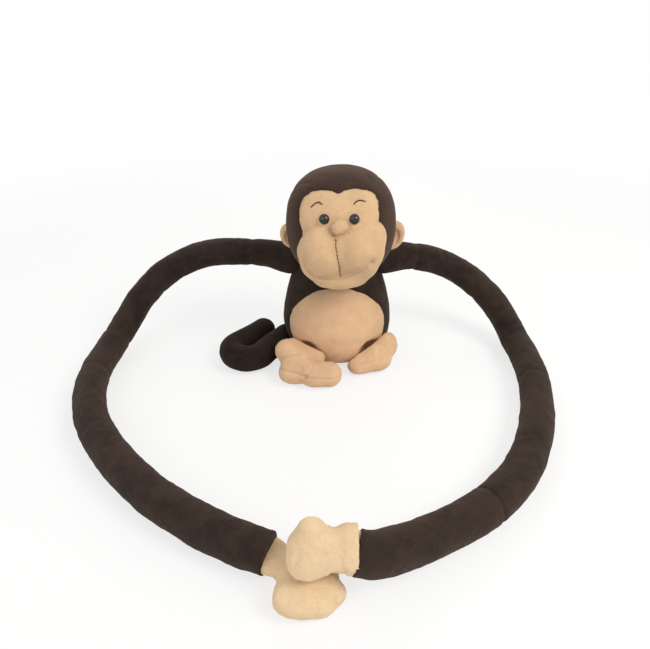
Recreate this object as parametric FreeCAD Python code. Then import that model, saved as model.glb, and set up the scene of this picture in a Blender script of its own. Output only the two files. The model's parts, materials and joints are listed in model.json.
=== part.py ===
import FreeCAD
import Part
import math
import os
from FreeCAD import Vector, Matrix, Rotation

# A plush monkey with very long arms, sitting upright and facing -Y. +Z is up,
# the toy's own left is +X, the origin is on the floor under the middle of the
# seat. All sizes are in millimetres.

# ---- cloth and clearances
FABRIC = 1.6  # plush cloth, without its pile
EASE = 0.35  # free space between any two pieces
FLOOR = 0.3  # height of the lowest cloth over the floor
STITCH = 0.7  # height of embroidery over the cloth
STITCH_GAP = 0.05  # free space under embroidery
SEAM = 0.4  # gap left around a sewn-in panel
THROUGH = 90.0  # length of a cutting bar, which goes right through what it cuts

# ---- torso: height, half width, half depth, offset to the back
TORSO = [
    (0.0, 42.0, 38.0, -3.0),
    (3.0, 50.0, 47.0, -3.0),
    (10.0, 59.0, 56.0, -3.0),
    (25.0, 64.5, 61.0, -2.5),
    (45.0, 65.5, 60.5, -1.5),
    (65.0, 62.5, 53.5, 1.0),
    (85.0, 57.0, 41.5, 8.0),
    (100.0, 49.5, 29.5, 16.0),
    (110.0, 39.0, 19.0, 21.0),
    (116.0, 24.0, 10.0, 24.0),
]
BELLY_CENTRE_Z = 46.5
BELLY_HALF = (55.5, 43.0)  # half width and half height of the light belly panel
BELLY_FROM_Y = -14.0

# ---- neck
NECK = (0.0, 5.0, 112.0)
NECK_R = 15.0

# ---- head
HEAD = (2.5, -25.0, 164.6)
HEAD_HALF = (58.5, 54.0, 60.0)
FACE_TILT = 20.0  # the face looks up by this many degrees
FACE_SHIFT = -3.0  # the face sits this far to one side of the head's middle
# upper lobes of the light face panel: across, up and radius
HEART_LOBES = [(-17.0, 7.0, 23.0), (13.5, 8.0, 26.5)]
HEART_LOW = (0.0, -8.0)
HEART_LOW_HALF = (40.0, 24.0)
MUZZLE = [
    ((-16.0, -67.0, 151.0), (28.5, 30.0, 28.0)),
    ((19.0, -67.0, 152.0), (28.5, 30.0, 28.5)),
    ((1.5, -65.0, 145.0), (34.0, 28.0, 27.0)),
    ((1.0, -61.0, 124.0), (31.0, 28.0, 17.0)),
]
MOUTH_R = 53.0
MOUTH_AT_X = 1.0
MOUTH_LOW_Z = 125.0
MOUTH_HALF_X = 37.0
THREAD_W = 1.5
PHILTRUM_X = -1.0
PHILTRUM_TOP_Z = 166.0
STITCHING_Y = -60.0  # mouth and philtrum are sewn on in front of this depth
NOSE_AT = (0.2, -5.0)
NOSE_R = 7.4
NOSE_L = 5.0  # from the middle of the nose's top to the middle of its lower end
NOSE_STANDS = 2.6

# ---- eyes: moulded safety eyes, pushed through the cloth and locked by washers
EYE_D = 10.0
EYE_DOME = 4.6
EYE_AT = (14.2, 3.3)
SHANK_D = 3.4
SHANK_L = 16.0
SHANK_RIBS = 5
RIB_OUT = 0.45
WASHER_D = 12.0
WASHER_T = 1.8
WASHER_TEETH = 6
WASHER_SLOT = (2.2, 0.7)  # length past the hole and width of the slots between teeth
POCKET_SPARE = 1.5  # spare depth of the filling behind a washer

# ---- brows: embroidered arcs
BROW_AT = (20.0, 14.5)
BROW_R = 6.5
BROW_W = 1.4
BROW_SPAN = 105.0

# ---- ears
EAR_Y = -15.0
EAR_Z = 147.0
EAR_HALF = (12.0, 4.5, 16.5)
RIGHT_EAR_IN = 5.5  # how far the ear's middle lies inside the side of the head
LEFT_EAR_IN = 1.0
EAR_HINGE_IN = 1.5  # how far the hinge lies inside the ear's middle
EAR_FLEX = 12.0

# ---- arms: one sleeve from shoulder to wrist in three lengths, with a ball at the
# top of each length in a hollow at the end of the one before
ARM_R = 16.2
ARM_Z = FLOOR + ARM_R  # height of the middle of a sleeve that lies on the floor
BEND = 60.0  # the elbow and forearm open by this much
LIFT = 60.0  # the upper hand peels off by this much
SWING = 12.0  # the lower hand turns either way by this much
RIM = 0.7  # spare length at the rim of each hollow
RIM_REACH = 2.0  # size of the disc that cuts a rim, in sleeve radii
SHOULDER = (52.0, 18.0, 108.5)
SHOULDER_ROOM = 0.7  # free space round the shoulder ball, which turns through 170
# Every length is a row of arcs, each one leaving in the direction in which the
# one before arrived. TOUCHDOWN is the arc that brings a sleeve down to the floor.
TOUCHDOWN = "touchdown"
RIGHT_START = (-1.0, 0.08, 0.14)
RIGHT_LANDS = (-0.02, -1.0, 0.0)  # direction in which the sleeve meets the floor
RIGHT_ARM = [
    [(-52, 18, 108.5), (-128, 28, 111), (-244, 5, 48)],
    [(-244, 5, 48), TOUCHDOWN, (-229, -177, ARM_Z)],
    [(-229, -177, ARM_Z), (-53, -306, ARM_Z)],
]
LEFT_START = (1.0, 0.12, 0.06)
LEFT_LANDS = (0.02, -1.0, 0.0)
LEFT_ARM = [
    [(52, 18, 108.5), (119, 30, 98), (211, -10, 24)],
    [(211, -10, 24), TOUCHDOWN, (171, -202, ARM_Z)],
    [(171, -202, ARM_Z), (98, -275, ARM_Z), (27, -314, 29), (2, -315, 35)],
]

# ---- hands: the left one lies palm down on the right one, pads between them
# every lobe of a hand or a foot is a round bar: its two ends and its radius
RIGHT_HAND = [
    ((-31, -318, 12), (-23, -318, 12), 20.0),
    ((-38, -336, 12), (-27, -337, 12), 14.0),
    ((-20, -337, 11), (-16, -336, 11), 13.0),
    ((-9, -331, 9.2), (-7, -331, 9.2), 10.0),
]
LEFT_HAND = [
    ((-25, -317, 38), (-14, -317, 36), 17.5),
    ((-24, -312, 50), (-22, -312, 50), 11.5),
    ((-28, -324, 34), (-24, -324, 34), 14.0),
]
HAND_TOP_Z = 22.0  # flat top of the lower hand
PAD_T = 1.0
PAD_HALF = (13.0, 8.5)
PAD_AT = (-21.0, -317.0)
LOOP_Z = HAND_TOP_Z + EASE
HOOK_Z = LOOP_Z + PAD_T + EASE
PALM_Z = HOOK_Z + PAD_T + EASE  # flat palm of the upper hand

# ---- feet: a ball at the hip and padded toes
HIP_R = 14.0
RIGHT_HIP = (-31.0, -50.0, 20.0)
LEFT_HIP = (35.0, -45.0, 20.0)
HUG = ((0.0, -2.0, 42.0), (68.0, 66.0, 67.0))  # a foot ends at this round form
RIGHT_FOOT = [
    ((-31, -50, 20), (-38, -62, 22), 13.0),
    ((-57, -61, 28), (-54, -61, 28), 15.0),
    ((-48, -72, 21), (-39, -74, 20.5), 17.0),
    ((-53, -82, 13.5), (-46, -83, 13.5), 14.5),
    ((-28, -88, 14.5), (-9, -87, 14.5), 15.5),
]
LEFT_FOOT = [
    ((35, -45, 20), (42, -56, 21), 13.0),
    ((55, -47, 30), (56, -48, 26), 15.0),
    ((42, -59, 15), (48, -57, 15), 16.0),
    ((22, -65, 11), (30, -64, 11.5), 12.5),
]

# ---- tail
TAIL_R = 15.8
TAIL_Z = FLOOR + TAIL_R
TAIL_BEND = 30.0
TAIL_ROOM = 15.0  # the torso makes room for the tail this far along it
TAIL_START = (-0.588, -0.809, 0.0)
TAIL_BASE = [(-61.5, -10, TAIL_Z), (-87, -50, TAIL_Z), (-111, -60, TAIL_Z)]
TAIL_TIP = [(-111, -60, TAIL_Z), (-121, -28, TAIL_Z), (-93, 3, TAIL_Z)]

os.makedirs("parts", exist_ok=True)
FRONT = Vector(0, -math.cos(math.radians(FACE_TILT)), math.sin(math.radians(FACE_TILT)))
UP = Vector(0, math.sin(math.radians(FACE_TILT)), math.cos(math.radians(FACE_TILT)))
SIDE = Vector(1, 0, 0)


def save(name, shape):
    if shape.ShapeType == "Compound" and len(shape.Solids) == 1:
        shape = shape.Solids[0]
    if not shape.isValid():
        shape.fix(0.01, 0.01, 0.01)
    print(name, len(shape.Solids), round(shape.Volume), shape.isValid())
    shape.exportStep("parts/" + name + ".step")


def ellipsoid(centre, half, inset=0.0):
    stretch = Matrix()
    stretch.scale(half[0] - inset, half[1] - inset, half[2] - inset)
    body = Part.makeSphere(1.0).transformGeometry(stretch)
    body.translate(Vector(*centre))
    return body


def ball(centre, radius):
    return Part.makeSphere(radius, Vector(*centre))


def round_bar(start, end, radius):
    """A round bar with a half ball at either end."""
    axis = Vector(*end) - Vector(*start)
    tip = Vector(0, 0, axis.Length)
    outline = [
        Part.makeLine(tip + Vector(0, 0, radius), Vector(0, 0, -radius)),
        Part.makeCircle(radius, Vector(0, 0, 0), Vector(0, -1, 0), 270, 360),
        Part.makeLine(Vector(radius, 0, 0), tip + Vector(radius, 0, 0)),
        Part.makeCircle(radius, tip, Vector(0, -1, 0), 0, 90),
    ]
    face = Part.Face(Part.Wire(outline))
    bar = face.revolve(Vector(0, 0, 0), Vector(0, 0, 1), 360)
    bar.Placement = FreeCAD.Placement(Vector(*start), Rotation(Vector(0, 0, 1), axis))
    return bar


def lumps(pieces, inset=0.0):
    solids = [ellipsoid(c, h, inset) for c, h in pieces]
    return solids[0].multiFuse(solids[1:])


def torso_form(inset=0.0):
    wires = []
    for n, (z, half_x, half_y, back) in enumerate(TORSO):
        if n == 0:
            z = z + inset
        if n == len(TORSO) - 1:
            z = z - inset
        ring = Part.Ellipse(Vector(0, back, z), half_x - inset, half_y - inset)
        wires.append(Part.Wire([ring.toShape()]))
    return Part.makeLoft(wires, True, False)


def ellipse_prism(centre, half, origin, across, up, along, depth):
    """An elliptical bar; half[0] runs along across and half[1] along up."""
    flip = half[1] > half[0]
    curve = Part.Ellipse(Vector(0, 0, 0), max(half), min(half))
    face = Part.Face(Part.Wire([curve.toShape()]))
    turn = Matrix()
    first, second = (up, across) if flip else (across, up)
    third = first.cross(second)
    turn.A11, turn.A21, turn.A31 = first.x, first.y, first.z
    turn.A12, turn.A22, turn.A32 = second.x, second.y, second.z
    turn.A13, turn.A23, turn.A33 = third.x, third.y, third.z
    face = face.transformGeometry(turn)
    face.translate(origin + across * centre[0] + up * centre[1])
    return face.extrude(along * depth)


def arc_to(start, along, end):
    """The arc that leaves start in the direction along and ends at end."""
    chord = end - start
    normal = along.cross(chord)
    side = normal.cross(along)
    side.normalize()
    centre = start + side * (chord.dot(chord) / (2.0 * chord.dot(side)))
    half = Rotation(normal, math.degrees(along.getAngle(chord)))
    middle = centre + half.multVec(start - centre)
    return Part.Arc(start, middle, end).toShape(), half.multVec(half.multVec(along))


def touchdown(start, along, lands):
    """Where an arc that leaves start in the direction along ends flat on the floor."""
    return start + (along + lands) * ((ARM_Z - start.z) / along.z)


def run(points, along, lands=None):
    """The centre line of one length: its wire and its first and last directions."""
    first = Vector(*along)
    first.normalize()
    here = Vector(*points[0])
    heading = first
    edges = []
    for stop in points[1:]:
        if stop == TOUCHDOWN:
            level = Vector(*lands)
            level.normalize()
            end = touchdown(here, heading, level)
        else:
            end = Vector(*stop)
        edge, heading = arc_to(here, heading, end)
        edges.append(edge)
        here = end
    return Part.Wire(edges), first, heading


def tube(points, line, radius, end_ball=False):
    wire, first, last = line
    ring = Part.Wire([Part.makeCircle(radius, Vector(*points[0]), first)])
    pipe = wire.makePipeShell([ring], True, False)
    solids = [ball(points[0], radius)]
    if end_ball:
        solids.append(ball(points[-1], radius))
    return pipe.multiFuse(solids)


def rim_cutter(centre, normal, set_back, radius):
    """Everything past the rim of a hollow: a thick disc that starts at the rim."""
    start = Vector(*centre) - normal * set_back
    return Part.makeCylinder(radius * RIM_REACH, radius * RIM_REACH, start, normal)


def hollow_end(shape, points, line, inset, radius, axis, low, high):
    """Cut the end of a tube so that the next length can turn from low to high."""
    centre = points[-1]
    mid = Rotation(Vector(*axis), (low + high) / 2.0)
    half = math.radians((high - low) / 2.0)
    set_back = radius * math.sin(half) + RIM + inset
    shape = shape.cut(rim_cutter(centre, mid.multVec(line[2]), set_back, radius))
    return shape.cut(ball(centre, radius + EASE + inset))


def sleeve(name, points, line, axis, low, high):
    def form(inset):
        body = tube(points, line, ARM_R - inset)
        return hollow_end(body, points, line, inset, ARM_R, axis, low, high)

    save(name + "_sleeve", form(0.0).cut(form(FABRIC)))
    save(name + "_filling", form(FABRIC + EASE))


def cover_and_filling(name, form):
    """A sewn cover and the filling in it. form(inset) gives the outside."""
    save(name + "_cover", form(0.0).cut(form(FABRIC)))
    save(name + "_filling", form(FABRIC + EASE))


def lobes(bars, inset=0.0):
    solids = [round_bar(start, end, radius - inset) for start, end, radius in bars]
    return solids[0].multiFuse(solids[1:])


def on_head(u, v):
    """The point on the head at u across and v up the face, and the way out of it."""
    base = SIDE * (u + FACE_SHIFT) + UP * v
    a = sum((FRONT[i] / HEAD_HALF[i]) ** 2 for i in range(3))
    b = sum(2 * FRONT[i] * base[i] / HEAD_HALF[i] ** 2 for i in range(3))
    c = sum((base[i] / HEAD_HALF[i]) ** 2 for i in range(3)) - 1.0
    w = (-b + math.sqrt(b * b - 4 * a * c)) / (2 * a)
    rel = base + FRONT * w
    out = Vector(*[rel[i] / HEAD_HALF[i] ** 2 for i in range(3)])
    out.normalize()
    return Vector(*HEAD) + rel, out


def heart(grow):
    """The outline of the face panel as a bar along the face's direction."""
    low_half = (HEART_LOW_HALF[0] + grow, HEART_LOW_HALF[1] + grow)
    origin = Vector(*HEAD) + SIDE * FACE_SHIFT
    bar = ellipse_prism(HEART_LOW, low_half, origin, SIDE, UP, FRONT, THROUGH)
    for across, up, radius in HEART_LOBES:
        start = origin + SIDE * across + UP * up
        bar = bar.fuse(Part.makeCylinder(radius + grow, THROUGH, start, FRONT))
    return bar


# ---- torso
tail_room = Vector(*TAIL_BASE[0]) + Vector(*TAIL_START) * TAIL_ROOM
sockets = [
    ball(NECK, NECK_R + EASE),
    ball(RIGHT_HIP, HIP_R + EASE),
    ball(LEFT_HIP, HIP_R + EASE),
    round_bar(TAIL_BASE[0], tail_room, TAIL_R + EASE),
    ball(SHOULDER, ARM_R + SHOULDER_ROOM),
    ball((-SHOULDER[0], SHOULDER[1], SHOULDER[2]), ARM_R + SHOULDER_ROOM),
]
socket = sockets[0].multiFuse(sockets[1:])
skin = torso_form(0.0).cut(torso_form(FABRIC)).cut(socket)
belly_start = Vector(0, BELLY_FROM_Y, BELLY_CENTRE_Z)
back_to_front = Vector(0, -1, 0)
world_up = Vector(0, 0, 1)
belly_bars = []
for step in (SEAM / 2.0, -SEAM / 2.0):
    half = (BELLY_HALF[0] + step, BELLY_HALF[1] + step)
    bar = ellipse_prism((0, 0), half, belly_start, SIDE, world_up, back_to_front, THROUGH)
    belly_bars.append(bar)
save("torso_shell", skin.cut(belly_bars[0]))
save("belly_panel", skin.common(belly_bars[1]))
save("torso_filling", torso_form(FABRIC + EASE).cut(socket))

# ---- neck
cover_and_filling("neck", lambda inset: ball(NECK, NECK_R - inset))

# ---- head
head_outer = ellipsoid(HEAD, HEAD_HALF)
head_inner = ellipsoid(HEAD, HEAD_HALF, FABRIC)
head_clear = ellipsoid(HEAD, HEAD_HALF, -EASE)
neck_room = ball(NECK, NECK_R + EASE)
head_skin = head_outer.cut(head_inner).cut(neck_room)
filling = ellipsoid(HEAD, HEAD_HALF, FABRIC + EASE).cut(neck_room)

for side, name, set_in in ((-1, "right_ear", RIGHT_EAR_IN), (1, "left_ear", LEFT_EAR_IN)):
    reach = HEAD_HALF[0] - set_in
    ear = ellipsoid((HEAD[0] + side * reach, EAR_Y, EAR_Z), EAR_HALF)
    hinge = Vector(HEAD[0] + side * (reach - EAR_HINGE_IN), EAR_Y, EAR_Z)
    for angle in (-EAR_FLEX, 0.0, EAR_FLEX):
        turned = head_clear.copy()
        turned.rotate(hinge, Vector(0, 0, 1), angle)
        ear = ear.cut(turned)
    solids = sorted(ear.Solids, key=lambda s: s.Volume)
    save(name, solids[-1])

eye_cut = None
for side, name in ((-1, "right_eye"), (1, "left_eye")):
    spot, out = on_head(side * EYE_AT[0], EYE_AT[1])
    base = spot + out * EASE
    dome = Part.makeSphere(EYE_D / 2.0, Vector(0, 0, 0), world_up, 0, 90, 360)
    squash = Matrix()
    squash.scale(1, 1, EYE_DOME / (EYE_D / 2.0))
    dome = dome.transformGeometry(squash)
    shank = Part.makeCylinder(SHANK_D / 2.0, SHANK_L, Vector(0, 0, -SHANK_L))
    pitch = SHANK_L * 0.6 / SHANK_RIBS
    for n in range(SHANK_RIBS):
        z = -SHANK_L + 1.0 + n * pitch
        rib = Part.makeCone(
            SHANK_D / 2.0, SHANK_D / 2.0 + RIB_OUT, pitch * 0.55, Vector(0, 0, z)
        )
        shank = shank.fuse(rib)
    eye = dome.fuse(shank)
    place = FreeCAD.Placement(base, Rotation(world_up, out))
    eye.Placement = place
    save(name, eye)
    hole_r = SHANK_D / 2.0 + RIB_OUT + EASE
    washer_z = -FABRIC - 2 * EASE - WASHER_T
    washer = Part.makeCylinder(WASHER_D / 2.0, WASHER_T, Vector(0, 0, washer_z))
    hole_from = Vector(0, 0, washer_z - WASHER_T)
    washer = washer.cut(Part.makeCylinder(hole_r, 3 * WASHER_T, hole_from))
    for n in range(WASHER_TEETH):
        slot_at = Vector(0, -WASHER_SLOT[1] / 2.0, washer_z - WASHER_T)
        slot = Part.makeBox(hole_r + WASHER_SLOT[0], WASHER_SLOT[1], 3 * WASHER_T, slot_at)
        slot.rotate(Vector(0, 0, 0), world_up, n * 360.0 / WASHER_TEETH)
        washer = washer.cut(slot)
    washer.Placement = place
    save(name + "_washer", washer)
    pocket = Part.makeCylinder(
        WASHER_D / 2.0 + EASE,
        WASHER_T + 2 * EASE + POCKET_SPARE,
        Vector(0, 0, washer_z - EASE),
    )
    room = Part.makeCylinder(hole_r, SHANK_L + 6.0, Vector(0, 0, -SHANK_L - 1.0))
    pocket.Placement = place
    room.Placement = place
    filling = filling.cut(pocket).cut(room)
    eye_cut = room if eye_cut is None else eye_cut.fuse(room)

head_skin = head_skin.cut(eye_cut)
save("head_shell", head_skin.cut(heart(SEAM / 2.0)))
save("face_panel", head_skin.common(heart(-SEAM / 2.0)))
save("head_filling", filling)

for side, name in ((-1, "right_brow"), (1, "left_brow")):
    layer = ellipsoid(HEAD, HEAD_HALF, -STITCH).cut(ellipsoid(HEAD, HEAD_HALF, -STITCH_GAP))
    origin = Vector(*HEAD) + SIDE * (side * BROW_AT[0] + FACE_SHIFT) + UP * BROW_AT[1]
    arc = Part.makeCylinder(BROW_R + BROW_W / 2.0, THROUGH, origin, FRONT)
    arc = arc.cut(Part.makeCylinder(BROW_R - BROW_W / 2.0, THROUGH, origin, FRONT))
    drop = BROW_R * math.cos(math.radians(BROW_SPAN / 2.0))
    keep = Part.makeBox(4 * BROW_R, 4 * BROW_R, THROUGH, Vector(-2 * BROW_R, drop, 0))
    keep.Placement = FreeCAD.Placement(origin, Rotation(SIDE, UP, FRONT, "XYZ"))
    save(name, layer.common(arc).common(keep))

# ---- muzzle
def muzzle(inset):
    return lumps(MUZZLE, inset).cut(head_clear)


cover_and_filling("muzzle", muzzle)
layer = lumps(MUZZLE, -STITCH).cut(lumps(MUZZLE, -STITCH_GAP)).cut(
    ellipsoid(HEAD, HEAD_HALF, -STITCH)
)
mouth_top = Vector(MOUTH_AT_X, STITCHING_Y, MOUTH_LOW_Z + MOUTH_R)
ring = Part.makeCylinder(MOUTH_R + THREAD_W / 2.0, THROUGH, mouth_top, back_to_front)
ring = ring.cut(Part.makeCylinder(MOUTH_R - THREAD_W / 2.0, THROUGH, mouth_top, back_to_front))
smile = Part.makeBox(
    2 * MOUTH_HALF_X,
    THROUGH,
    MOUTH_R,
    Vector(MOUTH_AT_X - MOUTH_HALF_X, STITCHING_Y - THROUGH, MOUTH_LOW_Z - THREAD_W),
)
save("mouth_stitching", layer.common(ring).common(smile))
slit = Part.makeBox(
    THREAD_W,
    THROUGH,
    PHILTRUM_TOP_Z - MOUTH_LOW_Z - THREAD_W,
    Vector(PHILTRUM_X - THREAD_W / 2.0, STITCHING_Y - THROUGH, MOUTH_LOW_Z + THREAD_W),
)
save("philtrum_stitching", layer.common(slit))

spot, out = on_head(*NOSE_AT)
nose_top = spot + out * NOSE_STANDS
nose = round_bar(nose_top, nose_top - UP * NOSE_L, NOSE_R)
nose = nose.cut(head_clear).cut(lumps(MUZZLE, -STITCH - EASE))
save("nose", sorted(nose.Solids, key=lambda s: s.Volume)[-1])

# ---- arms
right_upper = run(RIGHT_ARM[0], RIGHT_START)
right_fore = run(RIGHT_ARM[1], right_upper[2], RIGHT_LANDS)
right_lower = run(RIGHT_ARM[2], right_fore[2])
left_upper = run(LEFT_ARM[0], LEFT_START)
left_fore = run(LEFT_ARM[1], left_upper[2], LEFT_LANDS)
left_lower = run(LEFT_ARM[2], left_fore[2])
inward = {"right": (0, 0, -1), "left": (0, 0, 1)}
sleeve("right_upper_arm", RIGHT_ARM[0], right_upper, inward["right"], 0.0, BEND)
sleeve("right_forearm", RIGHT_ARM[1], right_fore, inward["right"], 0.0, BEND)
sleeve("right_lower_arm", RIGHT_ARM[2], right_lower, (0, 0, 1), -SWING, SWING)
sleeve("left_upper_arm", LEFT_ARM[0], left_upper, inward["left"], 0.0, BEND)
sleeve("left_forearm", LEFT_ARM[1], left_fore, inward["left"], 0.0, BEND)
sleeve("left_lower_arm", LEFT_ARM[2], left_lower, (0, 1, 0), 0.0, LIFT)
for side, lines in (
    ("right", (right_upper, right_fore, right_lower)),
    ("left", (left_upper, left_fore, left_lower)),
):
    print(side, [round(line[0].Length, 1) for line in lines])


# ---- hands
def slab(low, high):
    wide = 5 * THROUGH
    return Part.makeBox(wide, wide, high - low, Vector(-wide / 2.0, -wide, low))


def right_hand(inset):
    body = lobes(RIGHT_HAND, inset).common(slab(FLOOR + inset, HAND_TOP_Z - inset))
    wrist = ball(RIGHT_ARM[2][-1], ARM_R - inset)
    return body.fuse(wrist.common(slab(-ARM_R, HAND_TOP_Z - inset)))


def left_hand(inset):
    body = lobes(LEFT_HAND, inset).fuse(ball(LEFT_ARM[2][-1], ARM_R - inset))
    return body.common(slab(PALM_Z + inset, THROUGH))


cover_and_filling("right_hand", right_hand)
cover_and_filling("left_hand", left_hand)
for name, z in (("loop_pad", LOOP_Z), ("hook_pad", HOOK_Z)):
    bar = Part.makeBox(
        2 * (PAD_HALF[0] - PAD_HALF[1]),
        2 * PAD_HALF[1],
        PAD_T,
        Vector(-PAD_HALF[0] + PAD_HALF[1], -PAD_HALF[1], 0),
    )
    for side in (-1, 1):
        end = Vector(side * (PAD_HALF[0] - PAD_HALF[1]), 0, 0)
        bar = bar.fuse(Part.makeCylinder(PAD_HALF[1], PAD_T, end))
    bar = bar.removeSplitter()
    bar.translate(Vector(PAD_AT[0], PAD_AT[1], z))
    save(name, bar)


# ---- feet
def foot(bars, hip):
    """A foot that hugs the belly, and has room to lift in front of it."""

    def form(inset):
        body = lobes(bars, inset).common(slab(FLOOR + inset, THROUGH))
        body = body.cut(ellipsoid(*HUG, -inset))
        hip_ball = ball(hip, HIP_R - inset)
        hip_ball.rotate(Vector(*hip), world_up, 90.0)  # its seam goes to the back
        return body.fuse(hip_ball)

    return form


cover_and_filling("right_foot", foot(RIGHT_FOOT, RIGHT_HIP))
cover_and_filling("left_foot", foot(LEFT_FOOT, LEFT_HIP))


# ---- tail
base_line = run(TAIL_BASE, TAIL_START)
tip_line = run(TAIL_TIP, base_line[2])


def tail_base(inset):
    body = tube(TAIL_BASE, base_line, TAIL_R - inset)
    return hollow_end(body, TAIL_BASE, base_line, inset, TAIL_R, (0, 0, 1), 0.0, TAIL_BEND)


def tail_tip(inset):
    return tube(TAIL_TIP, tip_line, TAIL_R - inset, True)


cover_and_filling("tail_base", tail_base)
cover_and_filling("tail_tip", tail_tip)
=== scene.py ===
"""The looks of a plush monkey with long arms, as a Blender add-on that is run as a script.

Where no comment gives the unit, the places and lengths of 0.1 and more that are written here
are in millimetres, and the fine sizes below 0.1 are in metres. What one function hands to
another is in metres, apart from where they say millimetres. The toy sits on the floor, faces
-Y, and its own left is +X.
"""

import json
import math

import bmesh
import bpy
import numpy as np
from bpy.props import FloatProperty, FloatVectorProperty, IntProperty, PointerProperty
from bpy.types import Operator, Panel, PropertyGroup
from mathutils import Matrix, Quaternion, Vector, noise
from mathutils.bvhtree import BVHTree


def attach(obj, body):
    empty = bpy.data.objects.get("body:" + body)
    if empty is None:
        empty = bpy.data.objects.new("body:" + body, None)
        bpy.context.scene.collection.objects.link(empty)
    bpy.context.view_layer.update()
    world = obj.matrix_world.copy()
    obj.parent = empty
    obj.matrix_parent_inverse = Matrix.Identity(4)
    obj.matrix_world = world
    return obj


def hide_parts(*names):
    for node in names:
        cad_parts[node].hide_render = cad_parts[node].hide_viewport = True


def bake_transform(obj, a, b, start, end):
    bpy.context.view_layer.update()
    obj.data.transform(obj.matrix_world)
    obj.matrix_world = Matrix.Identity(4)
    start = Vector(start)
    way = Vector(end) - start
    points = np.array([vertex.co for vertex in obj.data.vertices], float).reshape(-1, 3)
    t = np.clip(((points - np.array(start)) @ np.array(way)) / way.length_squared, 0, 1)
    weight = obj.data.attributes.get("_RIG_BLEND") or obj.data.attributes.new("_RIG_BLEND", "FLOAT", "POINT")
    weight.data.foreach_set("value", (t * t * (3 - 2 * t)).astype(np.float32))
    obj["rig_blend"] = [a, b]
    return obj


bl_info = {
    "name": "Long Arm Plush Monkey",
    "version": (1, 0, 0),
    "blender": (4, 5, 0),
    "location": "View3D > Sidebar > Plush",
    "description": "Sewn plush covers, stitches, eyes and stage for a long arm plush monkey",
    "category": "Object",
}

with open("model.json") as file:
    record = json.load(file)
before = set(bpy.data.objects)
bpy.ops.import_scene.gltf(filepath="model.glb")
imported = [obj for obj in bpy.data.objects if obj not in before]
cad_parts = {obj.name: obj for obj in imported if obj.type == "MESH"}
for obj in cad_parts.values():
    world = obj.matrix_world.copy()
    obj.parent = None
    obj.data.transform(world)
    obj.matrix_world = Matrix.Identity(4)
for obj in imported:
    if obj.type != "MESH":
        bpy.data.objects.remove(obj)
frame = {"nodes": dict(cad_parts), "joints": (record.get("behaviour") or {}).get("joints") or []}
NODES = frame["nodes"]
JOINTS = {joint["name"]: Vector(joint["pos_m"]) for joint in frame["joints"]}
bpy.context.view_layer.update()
MM = 0.001


# ---- settings


class PlushCloth(PropertyGroup):
    """Sizes of the cloth, and how the filling blows it up."""

    inset: FloatProperty(
        name="Filling Inset",
        description="How far the cloth's face stands out from the filling",
        default=0.00195,
        unit="LENGTH",
    )
    pressure: FloatProperty(
        name="Stuffing Pressure",
        description="Pressure with which the filling blows a cover up",
        default=4.0,
    )
    frames: IntProperty(
        name="Stuffing Frames",
        description="Number of frames for which the cloth solver runs",
        default=10,
    )
    lump: FloatProperty(
        name="Lumps",
        description="Height of the soft lumps that the filling makes",
        default=0.0009,
        unit="LENGTH",
    )
    thickness: FloatProperty(
        name="Cloth Thickness",
        description="Thickness of the plush cloth with its pile",
        default=0.0022,
        unit="LENGTH",
    )


class PlushColours(PropertyGroup):
    """Colours of the plush and the thread, as linear values."""

    hood: FloatVectorProperty(
        name="Hood",
        description="Brown plush of the head",
        default=(0.048, 0.029, 0.021),
        subtype="COLOR",
        size=3,
    )
    # Darker than the hood: partly the plush's own darker tone and partly painted shade, as the arms and the
    # body lie in more shade than the head.
    sleeve: FloatVectorProperty(
        name="Sleeves",
        description="Brown plush of the arms and the body",
        default=(0.026, 0.0165, 0.0125),
        subtype="COLOR",
        size=3,
    )
    # Darker still: partly its own tone and partly painted shade, as the tail lies low beside the body.
    tail: FloatVectorProperty(
        name="Tail",
        description="Brown plush of the tail",
        default=(0.016, 0.0095, 0.0065),
        subtype="COLOR",
        size=3,
    )
    face: FloatVectorProperty(
        name="Face",
        description="Light plush of the face and the muzzle",
        default=(0.78, 0.52, 0.30),
        subtype="COLOR",
        size=3,
    )
    belly: FloatVectorProperty(
        name="Belly",
        description="Light plush of the belly and the feet",
        default=(0.80, 0.52, 0.31),
        subtype="COLOR",
        size=3,
    )
    hand: FloatVectorProperty(
        name="Hands",
        description="Light plush of the hands",
        default=(0.92, 0.68, 0.42),
        subtype="COLOR",
        size=3,
    )
    thread: FloatVectorProperty(
        name="Dark Thread",
        description="Embroidery thread",
        default=(0.020, 0.011, 0.008),
        subtype="COLOR",
        size=3,
    )


class PlushStage(PropertyGroup):
    """Floor, lamps and camera."""

    floor: FloatVectorProperty(
        name="Floor",
        description="Colour of the floor",
        default=(0.90, 0.90, 0.90),
        subtype="COLOR",
        size=3,
    )
    key: FloatProperty(
        name="Key Lamp", description="Power of the key lamp", default=9.0, unit="POWER"
    )
    fill: FloatProperty(
        name="Fill Lamp", description="Power of the fill lamp", default=4.0, unit="POWER"
    )
    lens: FloatProperty(
        name="Lens", description="Focal length of the camera in millimetres", default=27.97
    )
    tilt: FloatProperty(
        name="Camera Tilt",
        description="Angle of the camera below the horizon",
        default=math.radians(31.0),
        subtype="ANGLE",
    )


# ---- materials


def math_node(tree, kind, first, second):
    """Arithmetic on two sockets or numbers."""
    node = tree.nodes.new("ShaderNodeMath")
    node.operation = kind
    for socket, value in zip(node.inputs, (first, second)):
        if isinstance(value, (int, float)):
            socket.default_value = value
        else:
            tree.links.new(value, socket)
    return node.outputs[0]


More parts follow.
